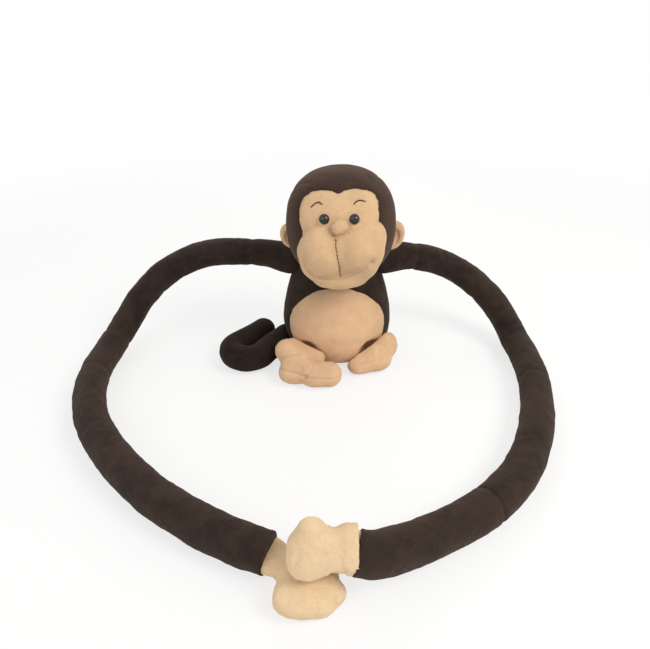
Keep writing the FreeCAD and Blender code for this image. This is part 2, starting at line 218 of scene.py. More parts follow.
def mix_colour(tree, factor, first, second, kind="MIX"):
    """Two colours mixed by a factor. Each may be a socket or a value."""
    node = tree.nodes.new("ShaderNodeMix")
    node.data_type = "RGBA"
    node.blend_type = kind
    node.clamp_factor = True
    for socket, value in ((node.inputs[0], factor), (node.inputs[6], first), (node.inputs[7], second)):
        if isinstance(value, (int, float, tuple)):
            socket.default_value = value
        else:
            tree.links.new(value, socket)
    return node.outputs[2]


def object_place(tree):
    """The place on the object, which a texture is laid out by."""
    return tree.nodes.new("ShaderNodeTexCoord").outputs["Object"]


def noise_node(tree, place, scale, detail, rough=0.5, distortion=0.0):
    """A noise texture's value. scale is its number of grains in a metre."""
    node = tree.nodes.new("ShaderNodeTexNoise")
    node.inputs["Scale"].default_value = scale
    node.inputs["Detail"].default_value = detail
    node.inputs["Roughness"].default_value = rough
    node.inputs["Distortion"].default_value = distortion
    tree.links.new(place, node.inputs["Vector"])
    return node.outputs["Fac"]


def ramp_node(tree, factor, low, high):
    """A mask that goes from 0 at low to 1 at high."""
    node = tree.nodes.new("ShaderNodeMapRange")
    node.interpolation_type = "SMOOTHSTEP"
    node.inputs["From Min"].default_value = low
    node.inputs["From Max"].default_value = high
    tree.links.new(factor, node.inputs["Value"])
    return node.outputs["Result"]


def new_group(name, inputs, outputs):
    """A shader node group with its inputs, which have a value each, and its outputs."""
    group = bpy.data.node_groups.new(name, "ShaderNodeTree")
    for label, kind, value in inputs:
        socket = group.interface.new_socket(name=label, in_out="INPUT", socket_type=kind)
        socket.default_value = value
    for label, kind in outputs:
        group.interface.new_socket(name=label, in_out="OUTPUT", socket_type=kind)
    return group, group.nodes.new("NodeGroupInput"), group.nodes.new("NodeGroupOutput")


def plush_pile_group():
    """Short pile: tufts, single fibres, and broad patches where the nap is brushed."""
    group, given, result = new_group(
        "plush_pile",
        [
            ("Colour", "NodeSocketColor", (0.5, 0.5, 0.5, 1.0)),
            ("Light", "NodeSocketFloat", 1.35),
            ("Dark", "NodeSocketFloat", 0.65),
            ("Tuft", "NodeSocketFloat", 620.0),
            ("Nap", "NodeSocketFloat", 0.5),
        ],
        [("Colour", "NodeSocketColor"), ("Height", "NodeSocketFloat"), ("Roughness", "NodeSocketFloat")],
    )
    place = object_place(group)
    tuft = group.nodes.new("ShaderNodeTexNoise")
    tuft.inputs["Detail"].default_value = 4.0
    tuft.inputs["Roughness"].default_value = 0.7
    group.links.new(place, tuft.inputs["Vector"])
    group.links.new(given.outputs["Tuft"], tuft.inputs["Scale"])
    fibre = noise_node(group, place, scale=3100.0, detail=2.0, rough=0.7)
    patch = noise_node(group, place, scale=70.0, detail=3.0, rough=0.55, distortion=0.5)
    broad = noise_node(group, place, scale=19.0, detail=2.0, rough=0.5, distortion=0.4)
    tufts = ramp_node(group, tuft.outputs["Fac"], 0.25, 0.75)
    pile = math_node(group, "MULTIPLY", tufts, 0.6)
    height = math_node(group, "ADD", pile, math_node(group, "MULTIPLY", fibre, 0.4))
    brushed = math_node(group, "MULTIPLY", ramp_node(group, patch, 0.34, 0.68), 0.55)
    swept = math_node(group, "MULTIPLY", ramp_node(group, broad, 0.36, 0.66), 0.45)
    nap = math_node(group, "MULTIPLY", math_node(group, "ADD", brushed, swept), given.outputs["Nap"])
    tone = math_node(group, "ADD", math_node(group, "MULTIPLY", height, 0.5), nap)
    tone = ramp_node(group, tone, 0.0, 0.9)
    dark = mix_colour(group, 1.0, given.outputs["Colour"], given.outputs["Dark"], "MULTIPLY")
    light = mix_colour(group, 1.0, given.outputs["Colour"], given.outputs["Light"], "MULTIPLY")
    group.links.new(mix_colour(group, tone, dark, light), result.inputs["Colour"])
    group.links.new(height, result.inputs["Height"])
    matt = math_node(group, "SUBTRACT", 1.0, math_node(group, "MULTIPLY", fibre, 0.22))
    group.links.new(matt, result.inputs["Roughness"])
    return group


def thread_twist_group():
    """Twisted embroidery thread: fine slanting strands."""
    group, given, result = new_group(
        "thread_twist",
        [("Colour", "NodeSocketColor", (0.1, 0.1, 0.1, 1.0)), ("Strands", "NodeSocketFloat", 900.0)],
        [("Colour", "NodeSocketColor"), ("Height", "NodeSocketFloat")],
    )
    place = object_place(group)
    wave = group.nodes.new("ShaderNodeTexWave")
    wave.bands_direction = "DIAGONAL"
    wave.inputs["Distortion"].default_value = 1.4
    wave.inputs["Detail"].default_value = 2.0
    group.links.new(place, wave.inputs["Vector"])
    group.links.new(given.outputs["Strands"], wave.inputs["Scale"])
    light = mix_colour(group, 1.0, given.outputs["Colour"], (2.2, 2.2, 2.2, 1.0), "MULTIPLY")
    dark = mix_colour(group, 1.0, given.outputs["Colour"], (0.6, 0.6, 0.6, 1.0), "MULTIPLY")
    group.links.new(mix_colour(group, wave.outputs["Fac"], dark, light), result.inputs["Colour"])
    group.links.new(wave.outputs["Fac"], result.inputs["Height"])
    return group


def new_material(name, colour):
    """A new material: its node tree and its shader."""
    material = bpy.data.materials.new(name)
    material.use_nodes = True
    material.diffuse_color = (*colour, 1.0)
    return material.node_tree, material.node_tree.nodes["Principled BSDF"]


def bump_into(tree, shader, height, strength, distance):
    """Raise a shader's surface by a height value. distance is the full height, in metres."""
    bump = tree.nodes.new("ShaderNodeBump")
    bump.inputs["Strength"].default_value = strength
    bump.inputs["Distance"].default_value = distance
    tree.links.new(height, bump.inputs["Height"])
    tree.links.new(bump.outputs["Normal"], shader.inputs["Normal"])


def plush_material(name, colour, sheen, tint, nap, light, dark, tuft=620.0, bump=0.7):
    """Plush whose pile goes from dark to light times its colour, in tufts and brushed patches."""
    tree, shader = new_material(name, colour)
    pile = tree.nodes.new("ShaderNodeGroup")
    pile.node_tree = bpy.data.node_groups["plush_pile"]
    pile.inputs["Colour"].default_value = (*colour, 1.0)
    pile.inputs["Light"].default_value = light
    pile.inputs["Dark"].default_value = dark
    pile.inputs["Tuft"].default_value = tuft
    pile.inputs["Nap"].default_value = nap
    tree.links.new(pile.outputs["Colour"], shader.inputs["Base Color"])
    tree.links.new(pile.outputs["Roughness"], shader.inputs["Roughness"])
    shader.inputs["Specular IOR Level"].default_value = 0.15
    shader.inputs["Sheen Weight"].default_value = sheen
    shader.inputs["Sheen Roughness"].default_value = 0.45
    shader.inputs["Sheen Tint"].default_value = (*tint, 1.0)
    bump_into(tree, shader, pile.outputs["Height"], strength=bump, distance=0.0009)


def thread_material(name, colour):
    """Embroidery thread."""
    tree, shader = new_material(name, colour)
    twist = tree.nodes.new("ShaderNodeGroup")
    twist.node_tree = bpy.data.node_groups["thread_twist"]
    twist.inputs["Colour"].default_value = (*colour, 1.0)
    tree.links.new(twist.outputs["Colour"], shader.inputs["Base Color"])
    shader.inputs["Roughness"].default_value = 0.5
    shader.inputs["Sheen Weight"].default_value = 0.2
    bump_into(tree, shader, twist.outputs["Height"], strength=0.5, distance=0.0002)


def eye_material():
    """Polished moulded plastic with faint moulding waves and a few fine scratches."""
    tree, shader = new_material("eye_plastic", (0.004, 0.004, 0.005))
    place = object_place(tree)
    wave = noise_node(tree, place, scale=220.0, detail=2.0)
    scratch = noise_node(tree, place, scale=1500.0, detail=4.0, rough=0.7, distortion=2.0)
    scratch = ramp_node(tree, scratch, low=0.60, high=0.72)
    colour = mix_colour(tree, wave, (0.003, 0.003, 0.004, 1.0), (0.009, 0.008, 0.009, 1.0))
    tree.links.new(colour, shader.inputs["Base Color"])
    rough = math_node(tree, "ADD", math_node(tree, "MULTIPLY", scratch, 0.10), 0.11)
    tree.links.new(rough, shader.inputs["Roughness"])
    shader.inputs["Specular IOR Level"].default_value = 0.07
    bump_into(tree, shader, wave, strength=0.06, distance=0.0003)


def moulded_material(name, colour):
    """Plain moulded plastic of the lock washers."""
    tree, shader = new_material(name, colour)
    place = object_place(tree)
    grain = noise_node(tree, place, scale=1800.0, detail=3.0)
    dark = tuple(0.85 * value for value in colour)
    tree.links.new(mix_colour(tree, grain, (*dark, 1.0), (*colour, 1.0)), shader.inputs["Base Color"])
    rough = math_node(tree, "ADD", math_node(tree, "MULTIPLY", grain, 0.2), 0.35)
    tree.links.new(rough, shader.inputs["Roughness"])
    bump_into(tree, shader, grain, strength=0.2, distance=0.0002)


def tape_material(name, colour, spacing, rise):
    """Hook tape or loop tape: a grid of small hooks or loops on a woven base."""
    tree, shader = new_material(name, colour)
    place = object_place(tree)
    cells = tree.nodes.new("ShaderNodeTexVoronoi")
    cells.inputs["Scale"].default_value = 1.0 / spacing
    cells.inputs["Randomness"].default_value = 0.35
    tree.links.new(place, cells.inputs["Vector"])
    height = math_node(tree, "SUBTRACT", 1.0, cells.outputs["Distance"])
    dark = tuple(0.55 * value for value in colour)
    tree.links.new(mix_colour(tree, height, (*dark, 1.0), (*colour, 1.0)), shader.inputs["Base Color"])
    rough = math_node(tree, "SUBTRACT", 0.95, math_node(tree, "MULTIPLY", height, 0.25))
    tree.links.new(rough, shader.inputs["Roughness"])
    bump_into(tree, shader, height, strength=0.8, distance=rise)


def make_materials(colours):
    """Every material of the toy, from the colours that are set."""
    plush_pile_group()
    thread_twist_group()
    plain = {"tint": (0.50, 0.34, 0.27), "light": 1.5, "dark": 0.60}
    pale = {"tint": (1.0, 0.86, 0.70), "nap": 0.34, "dark": 0.86, "tuft": 700.0, "bump": 0.8}
    looks = {
        "hood": {**plain, "sheen": 0.34, "nap": 0.40, "light": 1.25, "dark": 0.75},
        # the sleeves, the body and the tail take the darker colours, which hold painted shade as well as the
        # plush's own tone
        "sleeve": {**plain, "sheen": 0.22, "nap": 0.62},
        "tail": {**plain, "sheen": 0.16, "nap": 0.55, "tint": (0.42, 0.25, 0.17)},
        "face": {**pale, "sheen": 0.35, "light": 1.14, "dark": 0.84, "bump": 0.9},
        "belly": {**pale, "sheen": 0.30, "light": 1.12, "tuft": 800.0},
        "hand": {**pale, "sheen": 0.30, "light": 1.08},
    }
    for name, look in looks.items():
        plush_material(name + "_plush", tuple(getattr(colours, name)), **look)
    thread_material("dark_thread", tuple(colours.thread))
    thread_material("tan_thread", tuple(0.42 * value for value in colours.face))
    eye_material()
    moulded_material("washer_plastic", (0.72, 0.71, 0.68))
    tape_material("hook_tape", (0.47, 0.34, 0.20), spacing=0.0009, rise=0.0005)
    tape_material("loop_tape", (0.55, 0.41, 0.26), spacing=0.0013, rise=0.0004)


# ---- mesh helpers


FROM_FRONT = Vector((0.0, 0.857, -0.515))  # the way down onto the face, the hands and the feet
SIGHT = 0.3  # how far before a piece a line is thrown from, in metres
LUMP_SIZE = 0.018  # width of the filling's soft lumps, in metres
FLOOR_GAP = 0.3  # how far the toy's lowest places are above the floor, in millimetres
# depth and width of the grooves that seams and folds make, in metres
BACK_SEAM = (0.0011, 0.0016)
HOOD_SEAM = (0.0010, 0.0014)
FOOT_SEAM = (0.0013, 0.0015)
RIM_SEAM = (0.0009, 0.0016)
FOLD = (0.0012, 0.0018)
WRINKLE = (0.0005, 0.0030)


def at(x, y, z):
    """A place given in millimetres."""
    return Vector((x, y, z)) * MM


def make_piece(name, form, material):
    """A finished bmesh as a piece with one material."""
    mesh = bpy.data.meshes.new(name)
    form.to_mesh(mesh)
    form.free()
    mesh.materials.append(bpy.data.materials[material])
    mesh.shade_smooth()
    piece = bpy.data.objects.new(name, mesh)
    bpy.context.scene.collection.objects.link(piece)
    return piece


def freeze(piece):
    """Apply a piece's modifiers to its mesh."""
    bpy.context.view_layer.update()
    depsgraph = bpy.context.evaluated_depsgraph_get()
    solid = bpy.data.meshes.new_from_object(piece.evaluated_get(depsgraph))
    old = piece.data
    piece.modifiers.clear()
    piece.data = solid
    bpy.data.meshes.remove(old)
    solid.shade_smooth()


def remesh(piece, voxel):
    """Give a piece an even grid."""
    tool = piece.modifiers.new("grid", "REMESH")
    tool.mode = "VOXEL"
    tool.voxel_size = voxel
    freeze(piece)


def soften(piece, factor, repeat):
    """Even out a piece's points."""
    tool = piece.modifiers.new("soften", "SMOOTH")
    tool.factor = factor
    tool.iterations = repeat
    freeze(piece)


def refine(piece, levels):
    """Divide a piece's faces, once or more, into a rounder form."""
    tool = piece.modifiers.new("refine", "SUBSURF")
    tool.levels = levels
    tool.render_levels = levels
    freeze(piece)


def points_of(piece):
    """Every point of a piece, in metres."""
    points = np.empty(len(piece.data.vertices) * 3)
    piece.data.vertices.foreach_get("co", points)
    return points.reshape(-1, 3)


def normals_of(piece):
    """The way out of a piece at every point."""
    normals = np.empty(len(piece.data.vertices) * 3)
    piece.data.vertex_normals.foreach_get("vector", normals)
    return normals.reshape(-1, 3)


def place_points(piece, points):
    """Move a piece's points to new places, in metres."""
    piece.data.vertices.foreach_set("co", points.ravel())
    piece.data.update()


def push(piece, amount):
    """Move every point along its normal by its own amount, in metres."""
    place_points(piece, points_of(piece) + normals_of(piece) * np.asarray(amount).reshape(-1, 1))


def keep_above_floor(piece):
    """Flatten what would be in the floor."""
    points = points_of(piece)
    points[:, 2] = np.maximum(points[:, 2], FLOOR_GAP * MM)
    place_points(piece, points)


def copy_of_node(name, node, material):
    """A closed, merged copy of a CAD node's mesh."""
    form = bmesh.new()
    form.from_mesh(NODES[node].data)
    bmesh.ops.remove_doubles(form, verts=form.verts, dist=1e-6)
    return make_piece(name, form, material)


def inflate(piece, pressure, reach, pinned=()):
    """Blow a closed cover up with the cloth solver. No point moves further than reach."""
    start = points_of(piece)
    cloth = piece.modifiers.new("stuffing", "CLOTH")
    cloth.settings.quality = 5
    cloth.settings.use_pressure = True
    cloth.settings.uniform_pressure_force = pressure
    cloth.settings.effector_weights.gravity = 0.0
    cloth.settings.bending_stiffness = 0.6
    if pinned:
        held = piece.vertex_groups.new(name="sewn")
        held.add(pinned, 1.0, "REPLACE")
        cloth.settings.vertex_group_mass = "sewn"
    frames = bpy.context.scene.plush_cloth.frames
    cloth.point_cache.frame_start = 1
    cloth.point_cache.frame_end = frames
    for number in range(1, frames + 1):
        bpy.context.scene.frame_set(number)
    freeze(piece)
    bpy.context.scene.frame_set(1)
    piece.vertex_groups.clear()
    move = points_of(piece) - start
    length = np.linalg.norm(move, axis=1, keepdims=True)
    place_points(piece, start + move * np.minimum(1.0, reach / np.maximum(length, 1e-9)))


def lumpy(piece, height, size):
    """Soft lumps of filling under the cloth, the same in every run."""
    texture = bpy.data.textures.new(piece.name + "_lumps", "CLOUDS")
    texture.noise_scale = size
    texture.noise_depth = 2
    tool = piece.modifiers.new("lumps", "DISPLACE")
    tool.texture = texture
    tool.texture_coords = "LOCAL"
    tool.strength = height
    tool.mid_level = 0.5
    freeze(piece)
    bpy.data.textures.remove(texture)


def smooth_line(stops, steps=8):
    """A smooth line through the stops, which are in millimetres."""
    stops = [Vector(stop) for stop in stops]
    ends = [stops[0] * 2 - stops[1]] + stops + [stops[-1] * 2 - stops[-2]]
    line = []
    for before, here, after, last in zip(ends, ends[1:], ends[2:], ends[3:]):
        for step in range(steps):
            t = step / steps
            line.append(
                0.5
                * (
                    2 * here
                    + (after - before) * t
                    + (2 * before - 5 * here + 4 * after - last) * t * t
                    + (3 * here - before - 3 * after + last) * t * t * t
                )
            )
    line.append(stops[-1])
    return [point * MM for point in line]


def tree_of(piece):
    """A search tree of a piece's faces."""
    form = bmesh.new()
    form.from_mesh(piece.data)
    tree = BVHTree.FromBMesh(form)
    form.free()
    return tree


def onto(piece, line):
    """The line pulled onto the nearest places of a piece."""
    tree = tree_of(piece)
    return [tree.find_nearest(point)[0] for point in line]


def seen_on(piece, line):
    """The line thrown onto a piece from the front and above: its places, with the normals there."""
    tree = tree_of(piece)
    hits = [tree.ray_cast(point - FROM_FRONT * SIGHT, FROM_FRONT) for point in line]
    return [(hit[0], hit[1]) for hit in hits if hit[0] is not None]


def places_on(piece, line):
    """The places of a line thrown onto a piece from the front and above."""
    return [spot[0] for spot in seen_on(piece, line)]


def ragged(place, size, height):
    """An uneven value along a cloth's edge: lumps of one size and height, in metres."""
    return noise.noise(place / size) * height


def press(piece, gap, depth, width):
    """Press a piece in where gap, each point's distance from something, is small."""
    push(piece, -depth * np.exp(-((gap / width) ** 2)))


def nearest_spot(points, spots):
    """How far each point is from the nearest of some spots, in metres."""
    return np.min([np.linalg.norm(points - np.array(spot), axis=1) for spot in spots], axis=0)


def dent(piece, spots, depth, width):
    """Press round hollows into a piece, or raise them where depth is below zero."""
    press(piece, nearest_spot(points_of(piece), spots), depth, width)


def distance_to(points, line):
    """How far each point is from a line, in metres."""
    best = np.full(len(points), 1.0)
    for first, second in zip(line, line[1:]):
        a = np.array(first)
        along = np.array(second) - a
        t = np.clip(((points - a) @ along) / max(along @ along, 1e-12), 0.0, 1.0)
        gap = np.linalg.norm(points - a - t[:, None] * along, axis=1)
        best = np.minimum(best, gap)
    return best


def groove(piece, line, depth, width):
    """Press a seam into a piece along a line that lies on it."""
    press(piece, distance_to(points_of(piece), line), depth, width)


def sew_seams(piece, seams, groove_size):
    """Press seams into the side of a piece that is seen from the front and above."""
    for stops in seams:
        groove(piece, places_on(piece, smooth_line(stops)), *groove_size)


def cut_along(form, value):
    """Cut a bmesh along the line where value, a function of a point, is zero.

    Returns the value at every point, which is zero along the cut.
    """
    worth = {vert: value(vert.co) for vert in form.verts}
    near = min(edge.calc_length() for edge in form.edges) * 0.25
    for vert in form.verts:
        if abs(worth[vert]) < near:
            worth[vert] = 0.0
    for edge in list(form.edges):
        a, b = edge.verts
        if worth[a] * worth[b] < 0:
            new = bmesh.utils.edge_split(edge, a, worth[a] / (worth[a] - worth[b]))[1]
            worth[new] = 0.0
    on_line = [vert for vert in form.verts if worth[vert] == 0.0]
    bmesh.ops.connect_verts(form, verts=on_line)
    return worth


def inlay(piece, value, names, material, depth, width):
    """Cut a piece in two along a seam: the cloth round a panel and the panel in it.

    Both edges roll down into the seam, and both cloths get their thickness. The material is
    the panel's.
    """
    made = []
    thickness = bpy.context.scene.plush_cloth.thickness
    for name, keep, cloth in ((names[0], -1, None), (names[1], 1, material)):
        form = bmesh.new()
        form.from_mesh(piece.data)
        worth = cut_along(form, value)
        gone = [face for face in form.faces if sum(worth[vert] for vert in face.verts) * keep < 0]
        bmesh.ops.delete(form, geom=gone, context="FACES")
        form.normal_update()
        roll = {vert: math.exp(-((value(vert.co) / width) ** 2)) for vert in form.verts}
        for vert in form.verts:
            vert.co -= vert.normal * depth * roll[vert]
        part = make_piece(name, form, cloth or piece.data.materials[0].name)
        wall = part.modifiers.new("cloth", "SOLIDIFY")
        wall.thickness = thickness
        wall.offset = -1.0
        freeze(part)
        made.append(part)
    remove_piece(piece)
    return made


STITCH_STEPS = 6  # rings of a stitch, less one
STITCH_SIDES = 8  # sides of a ring
# shares of a stitch's radius: how deep it lies, its ends, and how much more its middle has
STITCH_DIVE = 0.35
STITCH_END = 0.55
STITCH_BOW = 0.45


def thread(form, start, end, radius, out):
    """One stitch: a short length of thread that dives into the cloth at both ends."""
    turn = (end - start).to_track_quat("Z", "Y").to_matrix().to_4x4()
    rings = []
    for step in range(STITCH_STEPS + 1):
        t = step / STITCH_STEPS
        bow = math.sin(math.pi * t)
        place = start.lerp(end, t) + out * (radius * bow - STITCH_DIVE * radius)
        ring = bmesh.ops.create_circle(
            form,
            cap_ends=step in (0, STITCH_STEPS),
            segments=STITCH_SIDES,
            radius=radius * (STITCH_END + STITCH_BOW * bow),
            matrix=Matrix.Translation(place) @ turn,
        )
        rings.append(ring["verts"])
    for first, second in zip(rings, rings[1:]):
        edges = {edge for vert in first + second for edge in vert.link_edges}
        loops = [edge for edge in edges if all(vert in first for vert in edge.verts)]
        loops += [edge for edge in edges if all(vert in second for vert in edge.verts)]
        bmesh.ops.bridge_loops(form, edges=loops)


def stitch_row(name, spots, material, pitch, length, radius, slant=0.0, rise=0.0003):
    """A row of stitches along places on a piece. slant turns each stitch across the line."""
    places = [spot[0] for spot in spots]
    travelled = [0.0]
    for first, second in zip(places, places[1:]):
        travelled.append(travelled[-1] + (second - first).length)
    form = bmesh.new()
    count = max(1, int(travelled[-1] / pitch))
    for number in range(count):
        goal = (number + 0.5) * travelled[-1] / count
        index = max(i for i, run in enumerate(travelled) if run <= goal)
        index = min(index, len(places) - 2)
        share = (goal - travelled[index]) / max(travelled[index + 1] - travelled[index], 1e-9)
        out = spots[index][1]
        middle = places[index].lerp(places[index + 1], share) + out * rise
        along = (places[index + 1] - places[index]).normalized()
        half = Quaternion(out, slant) @ along * (length / 2.0)
        thread(form, middle - half, middle + half, radius, out)
    bmesh.ops.recalc_face_normals(form, faces=form.faces)
    return make_piece(name, form, material)


def finish_piece(piece, body, nodes):
    """Say which body a piece rides on, and hide the nodes of the solids that it stands for.
    """
    if body is not None:
        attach(piece, body)
    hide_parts(*nodes)


WAD_STEPS = 4  # balls in a wad, less one


def stuffed_cover(name, node, material, voxel, smooth, swell, levels, grow=None, wads=()):
    """A cover made from its filling: a smooth grid, blown up, then refined.

    swell is how far the filling blows it up, and grow how far it is moved out before that.
    Each wad is a bar of more filling: its two ends and its radius, in millimetres.
    """
    cloth = bpy.context.scene.plush_cloth
    piece = copy_of_node(name, node, material)
    form = bmesh.new()
    form.from_mesh(piece.data)
    for start, end, radius in wads:
        for step in range(WAD_STEPS + 1):
            middle = Matrix.Translation(at(*start).lerp(at(*end), step / WAD_STEPS))
            bmesh.ops.create_icosphere(form, subdivisions=3, radius=radius * MM, matrix=middle)
    form.to_mesh(piece.data)
    form.free()
    remesh(piece, voxel)
    soften(piece, 0.5, smooth)
    push(piece, cloth.inset - swell if grow is None else grow)
    inflate(piece, pressure=cloth.pressure, reach=swell)
    refine(piece, levels)
    lumpy(piece, height=cloth.lump, size=LUMP_SIZE)
    return piece


# ---- arms: the same arcs as the sleeves of the solids

ARM_RADIUS = 16.2  # of the solids' sleeves
ARM_REST = FLOOR_GAP + ARM_RADIUS
FLOOR_ARC = "floor"  # a stop at the place where the arm comes down onto the floor
PITCH = 2.4  # distance between the points of a middle line


def arc_points(start, along, end):
    """The arc that leaves start in the direction along, in millimetres, and its last direction."""
    chord = end - start
    angle = along.angle(chord)
    normal = along.cross(chord).normalized()
    side = normal.cross(along).normalized()
    radius = chord.length_squared / (2.0 * chord.dot(side))
    centre = start + side * radius
    steps = max(2, round(2.0 * angle * radius / PITCH))
    turn = [Quaternion(normal, 2.0 * angle * step / steps) for step in range(steps + 1)]
    return [centre + q @ (start - centre) for q in turn], turn[-1] @ along


def sleeve_line(start, along, lands, stops):
    """The middle line of a whole arm in millimetres."""
    along = Vector(along).normalized()
    lands = Vector(lands).normalized()
    here = Vector(start)
    line = [here.copy()]
    for stop in stops:
        if stop == FLOOR_ARC:
            end = here + (along + lands) * ((ARM_REST - here.z) / along.z)
        else:
            end = Vector(stop)
        points, along = arc_points(here, along, end)
        line += points[1:]
        here = end
    return line


TUBE_ROUND = 18  # a tube has twice as many sides, and four more


def tube_along(name, line, radius, material):
    """A tube with closed ends. Its line, and the radius at each point, are in millimetres."""
    curve = bpy.data.curves.new(name, "CURVE")
    curve.dimensions = "3D"
    curve.bevel_depth = MM
    curve.bevel_resolution = TUBE_ROUND
    curve.use_fill_caps = True
    curve.twist_mode = "MINIMUM"
    spline = curve.splines.new("POLY")
    spline.points.add(len(line) - 1)
    for point, place, size in zip(spline.points, line, radius):
        point.co = (*(place * MM), 1.0)
        point.radius = size
    holder = bpy.data.objects.new(name, curve)
    bpy.context.scene.collection.objects.link(holder)
    bpy.context.view_layer.update()
    depsgraph = bpy.context.evaluated_depsgraph_get()
    mesh = bpy.data.meshes.new_from_object(holder.evaluated_get(depsgraph))
    bpy.data.objects.remove(holder)
    form = bmesh.new()
    form.from_mesh(mesh)
    bpy.data.meshes.remove(mesh)
    bmesh.ops.remove_doubles(form, verts=form.verts, dist=1e-6)
    bmesh.ops.recalc_face_normals(form, faces=form.faces)
    for face in form.faces:
        face.material_index = 0
    return make_piece(name, form, material)


def runs_of(line):
    """The points of a line of millimetres in metres, and the distance run at each of them."""
    stops = np.array([tuple(point * MM) for point in line])
    steps = np.linalg.norm(np.diff(stops, axis=0), axis=1)
    return stops, np.concatenate([[0.0], np.cumsum(steps)])


BLOCK = 4000  # points that are measured at a time


def along_tube(points, line):
    """For each point: the distance run along a line of millimetres. Also the whole length."""
    stops, run = runs_of(line)
    nearest = np.empty(len(points), int)
    for first in range(0, len(points), BLOCK):
        block = points[first : first + BLOCK]
        gap = ((block[:, None, :] - stops[None, :, :]) ** 2).sum(2)
        nearest[first : first + BLOCK] = gap.argmin(1)
    ahead = np.gradient(stops, axis=0)
    ahead /= np.linalg.norm(ahead, axis=1, keepdims=True)
    offset = ((points - stops[nearest]) * ahead[nearest]).sum(1)
    return run[nearest] + offset, run[-1]


def part_of_tube(name, whole, runs, low, high):
    """The stretch of a tube from low to high, closed at both ends. runs is each point's."""
    form = bmesh.new()
    form.from_mesh(whole.data)
    form.verts.ensure_lookup_table()
    layer = form.verts.layers.float.new("run")
    for vert in form.verts:
        vert[layer] = runs[vert.index]
    gone = [
        face
        for face in form.faces
        if not low <= sum(vert[layer] for vert in face.verts) / len(face.verts) <= high
    ]
    bmesh.ops.delete(form, geom=gone, context="FACES")
    rim = [edge for edge in form.edges if edge.is_boundary]
    if rim:
        caps = bmesh.ops.holes_fill(form, edges=rim, sides=0)["faces"]
        for edge in rim:
            edge.smooth = False
        bmesh.ops.triangulate(form, faces=caps)
    form.verts.layers.float.remove(layer)
    mesh = bpy.data.meshes.new(name)
    form.to_mesh(mesh)
    form.free()
    mesh.materials.append(whole.data.materials[0])
    piece = bpy.data.objects.new(name, mesh)
    bpy.context.scene.collection.objects.link(piece)
    return piece


def remove_piece(piece):
    """Delete a piece that others were made from."""
    mesh = piece.data
    bpy.data.objects.remove(piece)
    bpy.data.meshes.remove(mesh)


# ---- the pieces


class PLUSH_OT_materials(Operator):
    """Make the plush, thread, tape and plastic materials"""

    bl_idname = "plush.materials"
    bl_label = "Plush Materials"

    def execute(self, context):
        make_materials(context.scene.plush_colours)
        return {"FINISHED"}


BELLY_MIDDLE_Z = 46.5
BELLY_HALF_X = 55.5
BELLY_HALF_Z = 43.0
BELLY_FROM_Y = -14.0  # the belly panel ends here, towards the back
BELLY_PROUD = 0.0007  # how far the belly's cloth stands out of the body's
FAR_OUT = -0.05  # the value of a place that is nowhere near a panel
SHOULDERS = [((-34, 12, 96), (34, 12, 96), 15.0)]  # a wad across the body's top


def belly_value(place):
    """Above zero inside the belly's seam, in metres from it."""
    x = place.x / MM / BELLY_HALF_X
    z = (place.z / MM - BELLY_MIDDLE_Z) / BELLY_HALF_Z
    if place.y > BELLY_FROM_Y * MM:
        return FAR_OUT
    edge = (1.0 - math.hypot(x, z)) * BELLY_HALF_Z * MM
    return edge + ragged(place, size=0.009, height=0.0007) + ragged(place, size=0.0018, height=0.0003)


class PLUSH_OT_body(Operator):
    """Sew the body cover, its light belly panel and the neck"""

    bl_idname = "plush.body"
    bl_label = "Body and Belly"

    def execute(self, context):
        size = {"voxel": 0.0036, "smooth": 4, "swell": 0.0014, "levels": 1}
        body = stuffed_cover("body_cover", "torso_filling", "sleeve_plush", **size, wads=SHOULDERS)
        back = smooth_line([(0, 60, 8), (0, 59, 40), (0, 50, 80), (0, 38, 112)])
        groove(body, onto(body, back), *BACK_SEAM)
        names = ("body_plush", "belly_plush")
        shell, belly = inlay(body, belly_value, names, "belly_plush", depth=0.0018, width=0.0024)
        push(belly, BELLY_PROUD)
        sew_seams(belly, [[(-6, -66, 40), (15, -66, 39), (31, -62, 42), (43, -56, 48)]], WRINKLE)
        finish_piece(shell, "torso", ["torso_shell", "torso_filling"])
        finish_piece(belly, "torso", ["belly_panel"])
        size = {"voxel": 0.003, "smooth": 2, "swell": 0.0006, "levels": 1}
        neck = stuffed_cover("neck_plush", "neck_filling", "sleeve_plush", **size)
        finish_piece(neck, "neck", ["neck_cover", "neck_filling"])
        return {"FINISHED"}


HEAD = Vector((2.5, -25.0, 164.6))
HEAD_HALF = Vector((58.5, 54.0, 60.0))
HEAD_POWER = 2.25  # 2 is an egg, and more is squarer
HEAD_INSET = 0.0012  # how far the cover starts inside the head's form
HEAD_SWELL = 0.0010  # how far the filling blows it up
FACE_TILT = math.radians(20.0)
FACE_SHIFT = -3.0  # the face's middle line from the head's
FACE_FROM = 5.0  # the face ends this far before the head's middle
FACE_OUT = Vector((0.0, -math.cos(FACE_TILT), math.sin(FACE_TILT)))
FACE_UP = Vector((0.0, math.sin(FACE_TILT), math.cos(FACE_TILT)))
EYE_PLACES = ((-14.2, 3.3), (14.2, 3.3))
EYE_SEAT = 0.0095  # how far round an eye the cloth is level with its rim, in metres
# each lobe of the heart shape: middle, half width left and right of it, half height, and
# how square the lobe is on either side
HEART_LOBES = (
    ((-17.0, 7.5), (22.5, 22.5), 23.3, (2.45, 2.45)),
    ((14.0, 8.0), (24.0, 25.0), 24.0, (2.0, 3.4)),
    ((0.0, -8.0), (36.5, 36.5), 24.0, (2.0, 2.0)),
)


